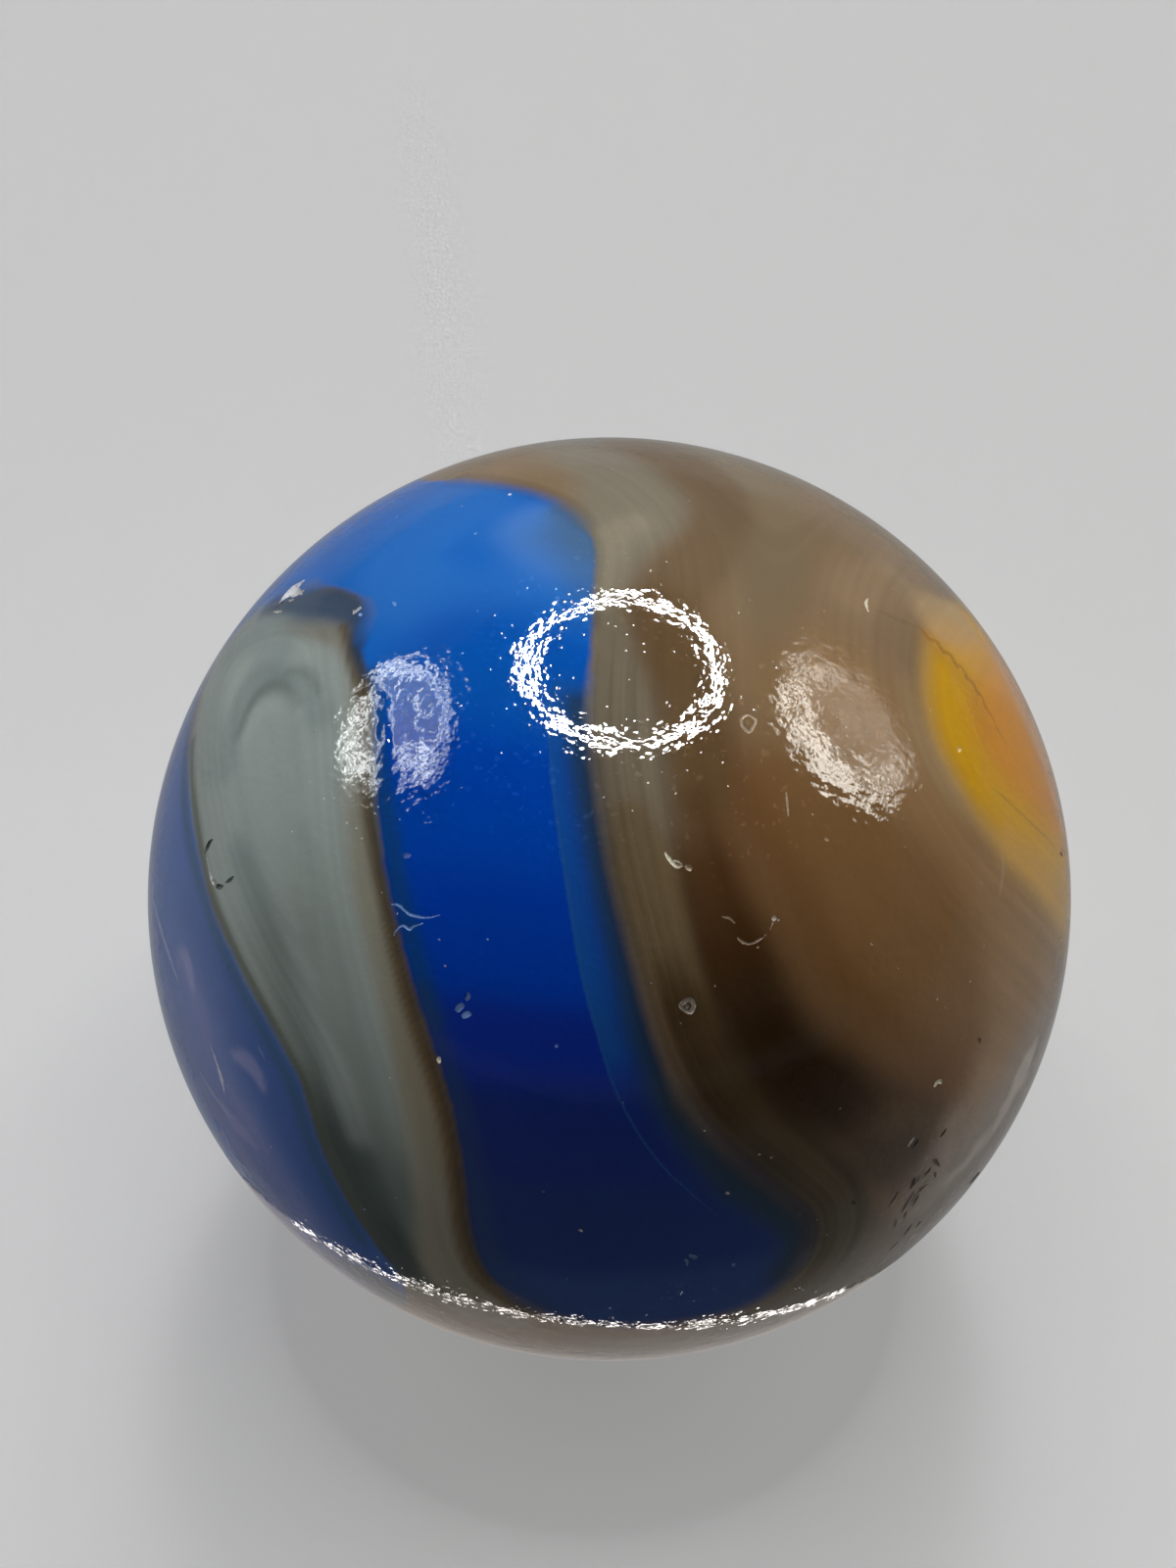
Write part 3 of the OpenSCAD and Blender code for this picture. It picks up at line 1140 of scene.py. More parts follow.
# %% The softness of the blue edge
EDGE_SOFTNESS = 0.55
SOFTER_EDGES = (
    (1.2, 1.0, 4, ((-3, 62, 1), (1, 40, 1), (5, 24, 1), (8, 14, 1))),
    (2.2, 1.0, 6, ((9.5, 10, 2), (15, 1, 3), (22, -8, 3), (24, -15, 3), (20, -23, 2))),
    (2.2, 1.0, 5, ((14, -26, 1), (0, -26, 2), (-11, -22, 1))),
    (0.7, 1.0, 5, ((-80, 25, 2), (-60, 18, 2), (-45, 11, 2), (-38, 2, 2), (-33, -12, 2))),
    (1.8, 1.0, 5, ((-104, 34, 2), (-92, 28, 2))),
    (2.4, 1.0, 4, ((-96.5, 50, 1), (-101, 44, 2), (-105, 36, 2))),
    (2.6, 1.0, 2.5, ((-68.6, 56.6, 0.4), (-72, 58, 1), (-75.5, 58.8, 0.3))),
    (1.5, 1.0, 3, ((-70, 86.4, 0.5), (-106, 85, 1), (-127, 76, 1), (-130, 66, 2))),
)
print("edge softness, degrees:", EDGE_SOFTNESS, "to", max(stream[0] for stream in SOFTER_EDGES))

# %% [markdown]
# ## The thin dark outline
#
# Along parts of the edge runs a hair-thin dark line, where a little brown glass was dragged under
# the blue. These streams say how strongly it shows.

# %% The strength of the outline
OUTLINE_STRENGTH = (
    (0.6, 1.0, 3, (
        (-66, 55.6, 0.2), (-57, 53.7, 1.2), (-46, 47, 2), (-32, 34, 2), (-20.7, 14, 2),
        (-17.3, -1, 2), (-15, -16, 1),
    )),
    (0.3, 1.0, 3, (
        (-6, 72, 0.5), (-9, 78.5, 1), (-14, 83, 2), (-41, 86, 2), (-106, 85, 2), (-127, 76, 2),
        (-130, 66, 2),
    )),
    (0.5, 1.0, 3, ((-3, 52, 1), (0.4, 41, 1), (3, 32, 1), (6, 20, 1), (9, 12, 1))),
    (0.5, 1.0, 3, (
        (9, 12, 1), (14.8, 3.6, 1.5), (20.8, -3.8, 1.5), (24.2, -8.5, 1), (25.2, -13.5, 0.5),
    )),
)
print("outlined stretches:", len(OUTLINE_STRENGTH))

# %% [markdown]
# ## Where the flow's lines show
#
# Fine and broad lines run along the flow, as the grain does in wood. They are strong in the
# striped band and faint elsewhere. The streams below give the strength of each kind.

# %% The strength of the flow's lines
PLAIN_LINES = 0.05
FINE_LINES = (
    (0.22, 1.0, 4, (
        (-3, 62, 3), (1, 48, 5), (5, 34, 5), (9, 22, 5), (16, 9, 6), (25, -4, 5), (28, -16, 4),
    )),
    (0.0, 1.0, 5, ((14, 50, 1), (16, 34, 2), (21, 20, 3), (31, 6, 4))),
    (0.06, 1.0, 6, ((-90, 40, 8), (-60, 36, 12), (-42, 18, 10))),
    (0.12, 1.0, 8, ((-48, 20, 2), (-40, 10, 5), (-33, 0, 6), (-27, -10, 5))),
)
BROAD_LINES = (
    (0.20, 1.0, 6, (
        (-3, 62, 3), (1, 48, 5), (5, 34, 5), (9, 22, 5), (16, 9, 6), (25, -4, 5), (28, -16, 4),
    )),
    (0.10, 1.0, 8, ((130, 60, 10), (90, 66, 10), (50, 70, 8), (10, 76, 8))),
    (0.12, 1.0, 6, ((100, 56, 5), (72, 54, 5), (56, 44, 5), (54, 32, 4), (58, 20, 4), (70, 6, 4))),
    (0.02, 1.0, 8, ((36, 42, 8), (42, 28, 10), (48, 12, 6))),
    (0.09, 1.0, 6, ((-90, 40, 8), (-60, 36, 12), (-42, 18, 10), (-30, 0, 6))),
)
print("places with stronger lines:", len(FINE_LINES) + len(BROAD_LINES))

# %% [markdown]
# ## Where dust clings, and painted glints round the ring
#
# Fine dust and tiny scuffs gather where the marble was rubbed most. Round the ring highlight the
# same light specks are painted glints of the ring lamp, with some dust among them. These streams
# say where, and how much of the speckle shows. The last two tables hold one stream each: how far
# the pale band shows, and where the pool's edge stands a little proud of the blue.

# %% The speckle, the band's cover and the raised edge
PLAIN_SPECKLE = 0.06
SPECKLED = (
    # the first four streams lie round the ring highlight: painted glints of the ring lamp, with some dust
    (0.8, 1.0, 10, ((8, 50, 2), (17, 48, 4), (24, 44, 3))),
    (0.7, 1.0, 8, ((30, 56, 1), (34, 62, 1), (24, 70, 1))),
    (0.55, 1.0, 8, ((-24, 54, 2), (-14, 49, 2), (-4, 47, 1))),
    (0.4, 1.0, 8, ((-30, 70, 2), (-18, 76, 2), (10, 78, 1))),
    (0.5, 1.0, 8, ((50, 47, 1), (56, 50, 1), (58, 56, 1))),
    (0.6, 1.0, 6, ((44, -6, 1), (42, -12, 2), (36, -20, 2))),
    (0.6, 1.0, 6, ((8, -20, 1), (14, -22, 1.5), (18, -24, 1))),
)
BAND_COVER = (
    (0.9, 1.0, 8, ((-10, 56, 5), (-5, 43, 6), (-2, 32, 4), (0, 25, 1.5), (1, 20, 0.2))),
)
RAISED_EDGE = (
    (1.0, 1.0, 7, ((-47, 48, 5), (-39, 40, 5))),
)
print("speckled places:", len(SPECKLED))

# %% [markdown]
# ## Threads
#
# Some colour was drawn out as thin as a hair: wisps in the hazy blue, a bright line down the
# ribbon, a pale ridge. A crack in the yellow glass shows in the same way. A thread is laid like a
# stream but has crisp sides, so it is kept as a signed distance, counted in its own half widths.
# A thread is a tint, a strength and a course.

# %% Threads
CRACK_BROWN = (0.32, 0.14, 0.012)
FAINT_CRACK = (0.12, 0.08, 0.045)
DEEP_OCHRE = (0.30, 0.14, 0.02)
RUST = (0.22, 0.12, 0.07)
THREAD_BLUE = (0.02, 0.10, 0.31)
WISP = (0.36, 0.42, 0.62)
PALE_LILAC = (0.60, 0.56, 0.68)
PALE_WISP = (0.48, 0.43, 0.385)

THREADS = (
    # a jagged crack in the yellow glass, and what lies above and below it
    (CRACK_BROWN, 0.68, (
        (84.2, 49.8, 0.09), (84.5, 48.8, 0.34), (83.4, 47.6, 0.51), (84.6, 46.4, 0.38),
        (83.4, 45.2, 0.55), (84.5, 44, 0.34), (83.2, 42.9, 0.55), (84, 41.8, 0.34),
        (82.6, 40.7, 0.51), (83.3, 39.7, 0.34), (81.9, 38.7, 0.42), (82.2, 37.7, 0.34),
        (80.7, 36.6, 0.42), (80.9, 35.5, 0.26), (79.6, 34.2, 0.3), (79.4, 32.8, 0.17),
        (78.6, 31.6, 0.09),
    )),
    (FAINT_CRACK, 0.22, ((80.6, 55.2, 0.1), (81.8, 52.7, 0.4), (83.6, 50.7, 0.35), (84.1, 49.8, 0.1))),
    (DEEP_OCHRE, 0.4, (
        (69.4, 31, 0.05), (70.4, 29.4, 0.22), (71.6, 27.1, 0.28), (75, 21.7, 0.28),
        (78.4, 17.2, 0.24), (80, 14.6, 0.05),
    )),
    (RUST, 0.55, ((82.4, 13.6, 0.15), (83.6, 12, 0.45), (85, 10.4, 0.15))),
    (RUST, 0.45, ((89.6, 20.2, 0.1), (90.6, 19.2, 0.35), (91.6, 18, 0.1))),
    # pale wisps at the left, low down
    (WISP, 0.5, (
        (-84, 7.4, 0.2), (-78, 7.5, 0.5), (-74, 7.1, 0.5), (-70.4, 6.3, 0.5), (-67.4, 5.3, 0.3),
        (-66, 4.7, 0.05),
    )),
    (PALE_LILAC, 0.85, (
        (-56.9, 1.2, 0.05), (-56.2, 0.4, 0.22), (-55.5, -0.8, 0.26), (-55, -1.8, 0.45),
        (-54.6, -3, 0.4), (-54.3, -4.2, 0.1),
    )),
    (WISP, 0.45, ((-61, -5.2, 0.1), (-58.8, -6.3, 0.35), (-56.6, -7.1, 0.35), (-54.2, -7.9, 0.15))),
    (WISP, 0.35, ((-47.6, 7.2, 0.05), (-46.8, 6.6, 0.16), (-46, 5.9, 0.05))),
    # the bright line down the ribbon
    (THREAD_BLUE, 0.5, (
        (-13.2, 57.5, 0.1), (-10.6, 51, 0.3), (-8.6, 45.5, 0.3), (-5.9, 37, 0.3), (-3.6, 28, 0.28),
        (-1.8, 22, 0.25), (0.4, 15, 0.22), (3.1, 9, 0.2), (6, 4, 0.2), (9.4, -0.5, 0.15),
        (13, -5, 0.05),
    )),
    # the pale ridge at the lower right
    (PEARL, 0.55, (
        (54.6, -11.8, 0.05), (53.2, -12.4, 0.3), (52.6, -13.2, 0.25), (51.3, -14, 0.4),
        (50.7, -14.5, 0.4), (49.4, -14.2, 0.2), (48.4, -14.5, 0.25), (47.2, -15, 0.05),
    )),
    # a scratch at the right
    (PALE_WISP, 0.16, ((65, 25.5, 0.1), (63.6, 23.6, 0.3), (62, 22, 0.3), (60, 20.6, 0.1))),
)
print("threads:", len(THREADS))

# %% [markdown]
# ## Laying the streams
#
# Laying is a plain mixing rule. At full strength in its middle a stream hides what is below it,
# and past its half width it thins out smoothly, as poured glass does where two colours meet.

# %% Laying the streams
FADE = 4.0


def lay(field, places, streams):
    """Lets each stream flow over the field, which has one row of values for each place."""
    for tint, strength, softness, course in streams:
        line = flowing_line(course)
        distance, row = measure(places, line)
        beyond = np.maximum(np.abs(distance) - line[row, 3], 0)
        share = line[row, 4] if line.shape[1] > 4 else 1.0
        cover = strength * share * np.exp(-FADE * (beyond / softness) ** 2)
        field += cover[:, None] * (np.asarray(tint, float).reshape(1, -1) - field)
    return field


def lay_level(places, plain, streams):
    """Lays a plain number and the streams over it; returns one value for each place."""
    return lay(np.full((len(places), 1), float(plain)), places, streams)[:, 0]


print("at one softness past its side a stream still covers", round(math.exp(-FADE), 3))

# %% [markdown]
# ## Laying the threads
#
# For each place only the nearest thread counts. Its gap tells the shader where the crisp sides
# are. Its tint and strength are laid as soft streams round it, wide enough that they are steady
# over the thread's own width.

# %% Laying the threads
THREAD_FADE = 1.2
FAR_GAP = 1e3
GAP_LIMIT = 8


def threaded(places):
    """For each place, the nearest thread's gap in half widths, its tint and how strongly it shows."""
    gap = np.full(len(places), FAR_GAP)
    for _, _, course in THREADS:
        line = flowing_line(course)
        distance, row = measure(places, line)
        share = distance / line[row, 3]
        gap = np.where(np.abs(share) < np.abs(gap), share, gap)
    tints = [(tint, 1.0, THREAD_FADE, course) for tint, _, course in THREADS]
    covers = [(strength, 1.0, THREAD_FADE, course) for _, strength, course in THREADS]
    tint_field = lay(np.zeros((len(places), 3)), places, tints)
    return np.clip(gap, -GAP_LIMIT, GAP_LIMIT), tint_field, lay_level(places, 0, covers)


front_gap, _, _ = threaded(on_ball([(0, 0)]))
print("from the front to the nearest thread, half widths:", round(abs(float(front_gap[0])), 1))

# %% [markdown]
# ## A measure of the flow
#
# The lines of the flow run side by side with the edges of the glass. The distance to the nearest
# edge would do as a measure across them, but it has a crease half way between two edges. Adding
# up a pull from every stretch of every edge gives a measure that has no creases.

# %% The flow's own measure
FLOW_PULL = 3
LEAST_GAP = 1e-6


def flow_measure(places, lines):
    """A smooth stand-in for the distance to all the lines at once: it has no creases between them."""
    pull = np.zeros(len(places))
    for line in lines:
        spots = line[:-1, :3]
        lengths = np.linalg.norm(np.diff(line[:, :3], axis=0), axis=1)
        for first in range(0, len(places), BATCH):
            batch = places[first:first + BATCH]
            gap = np.sqrt(np.maximum(2 - 2 * batch @ spots.T, LEAST_GAP))
            pull[first:first + BATCH] += (lengths / gap**FLOW_PULL).sum(axis=1)
    return np.degrees((pull / 2) ** -0.5)


flow_lines = [flowing_line(BLUE_EDGE, True), flowing_line(YELLOW_EDGE, True)]
print("flow at the front:", round(float(flow_measure(on_ball([(0, 0)]), flow_lines)[0]), 1))

# %% [markdown]
# ## All the fields together
#
# This gathers the whole pattern: for each place on the ball, the distances, the two paint layers
# and the plain strengths. The shader later reads each of them from the mesh by its name.

# %% The fields of the pattern
def earth_paint(places, yellow):
    """The colours outside the blue glass."""
    earth = lay(np.tile(TAUPE, (len(places), 1)), places, EARTH_STREAMS)
    for tint, begins, full in YELLOW_LAYERS:
        cover = ease(yellow, begins, full)[:, None]
        earth += cover * (np.asarray(tint) - earth)
    return lay(earth, places, YELLOW_STREAMS)


def painted_fields(places):
    """Every field of the pattern at the given unit directions of the map."""
    yellow = inside_of(places, YELLOW_EDGE, YELLOW_PLACE)
    thread, thread_tint, thread_cover = threaded(places)
    return {
        "thread": thread,
        "thread_tint": thread_tint,
        "thread_cover": thread_cover,
        "speckle": lay_level(places, PLAIN_SPECKLE, SPECKLED),
        "raised": lay_level(places, 0, RAISED_EDGE),
        "blue": inside_of(places, BLUE_EDGE, BLUE_PLACE),
        "band": inside_of(places, BAND_EDGE, BAND_PLACE),
        "earth": earth_paint(places, yellow),
        "sea": lay(np.tile(COBALT, (len(places), 1)), places, SEA_STREAMS),
        "soft": lay_level(places, EDGE_SOFTNESS, SOFTER_EDGES),
        "outline": lay_level(places, 0, OUTLINE_STRENGTH),
        "band_cover": lay_level(places, 0, BAND_COVER),
        "flow": flow_measure(places, flow_lines),
        "fine_lines": lay_level(places, PLAIN_LINES, FINE_LINES),
        "broad_lines": lay_level(places, PLAIN_LINES, BROAD_LINES),
    }


front = painted_fields(on_ball([(-12, 20)]))
print("blue glass at the front, degrees inside:", round(float(front["blue"][0]), 1))

# %% [markdown]
# ## Bruises
#
# A marble that has been played with carries bruises. Where two marbles knock together a flake
# springs off, or a small ring-shaped crack, called a moon, is left. Each mark here is a short
# course with half widths, as the streams are. A tool of that form cuts the mark out of the ball,
# so light catches its edges as on real glass. A mark has a tint, which is its frosted glass for
# pale marks and painted shade for dark nicks and folds, how far the tint covers, its depth as a
# share of the half width, whether its course is closed, and the course. The moon and its
# neighbours come first.

# %% The moon, the bright pit above it and the bent hairline
FROST = (0.62, 0.55, 0.48)
CREAM = (0.85, 0.80, 0.62)
DULL = (0.30, 0.22, 0.13)
FROST_SHADE = (0.20, 0.17, 0.14)

MOON_MARKS = (
    # the moon, and the bright pit above it
    (FROST, 0.95, 0.5, True, (
        (9.1, 24.1, 0.27), (9.8, 24.6, 0.27), (10.5, 24.6, 0.3), (10.8, 23.9, 0.27),
        (10.3, 23.2, 0.3), (9.6, 23.5, 0.25),
    )),
    (CREAM, 1.0, 0.6, False, (
        (8.7, 42.1, 0.1), (9.2, 41.3, 0.22), (9.7, 40.8, 0.26), (10.3, 40.25, 0.24),
        (11.3, 40.4, 0.2),
    )),
    (CREAM, 1.0, 0.5, False, ((9.8, 41.0, 0.1), (10.5, 40.9, 0.14), (11.1, 40.55, 0.14))),
    (DULL, 0.9, 0.5, False, ((11.6, 40.3, 0.25), (12.1, 40.0, 0.42), (12.5, 39.7, 0.2))),
    # the hairline bent like a C, with its pit
    (DULL, 0.9, 0.5, False, ((15.9, 33.8, 0.08), (16.9, 33.5, 0.17), (17.6, 32.8, 0.12))),
    (DULL, 0.9, 0.5, False, (
        (17.6, 31.1, 0.1), (18.3, 30.4, 0.2), (19.4, 30.05, 0.13), (20.6, 30.3, 0.13),
        (21.7, 30.7, 0.07),
    )),
    (DULL, 0.7, 0.5, False, ((22.4, 31.1, 0.07), (23.0, 31.9, 0.12))),
    (FROST, 0.9, 0.5, False, ((23.1, 32.5, 0.22), (23.3, 32.3, 0.36), (23.5, 32.1, 0.2))),
)
print("marks round the moon:", len(MOON_MARKS))

# %% [markdown]
# ## Hairlines and scuffs in the ribbon
#
# Two hairlines and a few frosted scuffs lie in the ribbon. Frosted blue glass is pale blue, and a
# shallow scuff hardly differs from the glass round it.

# %% Marks in the ribbon
BLUE_FROST = (0.20, 0.36, 0.70)
FAINT_FROST = (0.09, 0.16, 0.36)

RIBBON_MARKS = (
    # two hairlines and a scuff in the ribbon
    (BLUE_FROST, 1.0, 0.6, False, (
        (-31.6, 32.0, 0.08), (-30.4, 32.2, 0.16), (-29.2, 31.8, 0.16), (-28.2, 31.6, 0.2),
        (-26.6, 31.7, 0.14), (-25.2, 32.0, 0.1), (-23.8, 32.7, 0.05),
    )),
    (BLUE_FROST, 0.9, 0.6, False, (
        (-30.0, 28.6, 0.08), (-29.6, 29.6, 0.13), (-28.9, 30.1, 0.17), (-28.0, 29.9, 0.2),
        (-27.4, 30.4, 0.14), (-26.2, 31.1, 0.1),
    )),
    (FAINT_FROST, 1.0, 0.25, False, ((-19.6, 21.9, 0.25), (-19.2, 22.4, 0.42), (-18.7, 22.9, 0.3))),
    (BLUE_FROST, 0.8, 0.25, False, ((-18.7, 21.3, 0.25), (-18.2, 21.7, 0.42), (-17.6, 22.0, 0.25))),
    (FAINT_FROST, 1.0, 0.25, False, ((-18.5, 23.4, 0.2), (-18.2, 23.9, 0.32), (-18.3, 24.4, 0.15))),
    (FAINT_FROST, 0.35, 0.2, False, ((-32.0, 37.8, 0.3), (-31.5, 38.0, 0.4), (-30.8, 38.1, 0.2))),
    (CREAM, 1.0, 0.6, False, ((-21.2, 15.8, 0.15), (-21.1, 15.4, 0.3), (-21.0, 15.0, 0.15))),
)
print("marks in the ribbon:", len(RIBBON_MARKS))

# %% [markdown]
# ## Chips round the pool
#
# A jagged arc of small dark nicks lies at the foot of the pool, and bright chips at its far
# shoulder, where they are seen nearly from the side.

# %% Marks round the pool
# the dark of the nicks, and beside the chips and pits, is painted shadow
SHADOW = (0.035, 0.040, 0.036)
BRIGHT = (0.80, 0.80, 0.82)

POOL_MARKS = (
    # the jagged arc at the foot of the grey pool
    (SHADOW, 0.9, 0.9, False, (
        (-66.4, 25.3, 0.1), (-66.7, 24.7, 0.35), (-66.8, 23.9, 0.42), (-66.7, 23.0, 0.15),
    )),
    (POOL_PALE, 0.8, 0.5, False, (
        (-66.0, 22.9, 0.1), (-65.0, 22.4, 0.16), (-63.9, 21.8, 0.22), (-63.0, 21.5, 0.3),
    )),
    (BRIGHT, 0.8, 0.6, False, ((-63.0, 21.4, 0.15), (-62.4, 21.5, 0.4), (-61.8, 21.9, 0.25))),
    (SHADOW, 0.9, 0.9, False, ((-61.6, 21.4, 0.25), (-61.0, 21.7, 0.38), (-60.2, 22.2, 0.15))),
    (SHADOW, 0.8, 0.8, False, ((-60.0, 22.9, 0.1), (-59.3, 23.6, 0.33), (-58.8, 24.4, 0.12))),
    # chips at the upper left, seen nearly from the side
    (BRIGHT, 1.0, 0.45, False, (
        (-98.4, 44.8, 0.2), (-99.4, 45.9, 0.9), (-99.8, 46.9, 1.3), (-100.1, 47.9, 0.8),
        (-100.6, 49.0, 0.25),
    )),
    (BRIGHT, 1.0, 0.45, False, (
        (-99.2, 47.0, 0.3), (-97.8, 47.9, 0.8), (-96.7, 48.6, 0.5), (-96.2, 49.6, 0.15),
    )),
    (FROST, 0.9, 0.5, False, ((-97.0, 46.8, 0.1), (-96.0, 47.4, 0.25), (-95.4, 48.0, 0.1))),
    # painted shadow beside the chips
    (SHADOW, 0.8, 0.6, False, ((-98.6, 44.4, 0.1), (-97.6, 45.4, 0.3), (-96.8, 46.2, 0.1))),
    (FROST, 0.8, 0.5, False, ((-97.6, 48.5, 0.1), (-96.4, 48.9, 0.25), (-95.2, 49.4, 0.1))),
    (FROST, 0.7, 0.5, False, ((-96.8, 44.2, 0.1), (-95.6, 45.1, 0.25), (-94.4, 46.0, 0.1))),
    (FROST, 0.9, 0.5, False, ((-77.2, 58.0, 0.3), (-77.0, 57.4, 0.33), (-77.2, 56.8, 0.45))),
    (BLUE_FROST, 0.7, 0.4, False, ((-75.5, 57.4, 0.1), (-74.9, 57.6, 0.28), (-74.2, 57.7, 0.15))),
    (BLUE_FROST, 0.7, 0.4, False, ((-72.0, 61.8, 0.1), (-70.9, 61.9, 0.22), (-69.8, 61.8, 0.1))),
    (BRIGHT, 0.9, 0.5, False, ((-121.5, 75.8, 0.15), (-120.5, 76.0, 0.3), (-119.5, 76.2, 0.15))),
)
print("marks round the pool:", len(POOL_MARKS))

# %% [markdown]
# ## Knocks on the right
#
# The right side carries small pits and one more faint moon on the shoulder.

# %% Marks on the right
AMBER_PIT = (0.80, 0.58, 0.30)
WARM_FROST = (0.40, 0.31, 0.21)

RIGHT_MARKS = (
    # pits at the right
    (CREAM, 0.7, 0.6, False, ((42.5, 3.7, 0.2), (43.0, 4.2, 0.3), (43.6, 3.9, 0.3), (43.7, 3.5, 0.1))),
    (CREAM, 0.9, 0.3, False, ((39.4, -2.3, 0.1), (39.0, -2.8, 0.28), (38.4, -3.4, 0.1))),
    # painted shadow beside the pit
    (SHADOW, 0.8, 0.6, False, ((40.0, -2.9, 0.1), (39.6, -3.5, 0.3), (39.1, -4.1, 0.1))),
    (AMBER_PIT, 0.8, 0.4, False, ((67.0, 37.8, 0.2), (67.5, 38.0, 0.3), (68.0, 37.7, 0.15))),
    (FROST_SHADE, 0.8, 0.3, False, ((9.7, 23.85, 0.2), (9.95, 24.0, 0.32), (10.1, 24.15, 0.2))),
    # other knocks on the right shoulder
    (WARM_FROST, 0.8, 0.5, True, (
        (28.3, 55.1, 0.25), (29.0, 56.0, 0.2), (30.7, 56.1, 0.2), (31.5, 55.2, 0.18),
        (30.3, 54.5, 0.2), (29.0, 54.2, 0.3),
    )),
    (CREAM, 0.8, 0.5, False, (
        (78.0, 56.5, 0.08), (79.5, 57.0, 0.24), (81.0, 57.1, 0.2), (82.4, 57.0, 0.08),
    )),
    (WARM_FROST, 1.0, 0.6, False, (
        (31.2, 46.0, 0.08), (30.7, 45.0, 0.16), (30.3, 44.0, 0.16), (30.0, 43.2, 0.06),
    )),
    (WARM_FROST, 0.9, 0.5, False, ((34.5, 39.3, 0.12), (34.8, 39.1, 0.24), (35.1, 38.9, 0.1))),
    (WARM_FROST, 0.7, 0.5, False, ((36.3, 25.7, 0.1), (36.5, 25.5, 0.2), (36.7, 25.3, 0.1))),
    # painted shade in a nick at the rim
    (SHADOW, 0.8, 0.6, False, ((81.2, 13.5, 0.15), (81.8, 12.9, 0.3), (82.4, 12.3, 0.1))),
)
print("marks on the right:", len(RIGHT_MARKS))

# %% [markdown]
# ## The wrinkled place
#
# Low on the right the glass set in wrinkles: short folds in a row, with paler ridges between
# them. They are cut like the bruises, and the folds' dark tint is painted shade. A few frosted
# specks in the ribbon are cut last.

# %% Marks of the wrinkled place
PALE_CHIP = (0.42, 0.37, 0.34)
WRINKLE_SHADE = (0.045, 0.033, 0.03)
NOTCH_SHADE = (0.10, 0.105, 0.10)

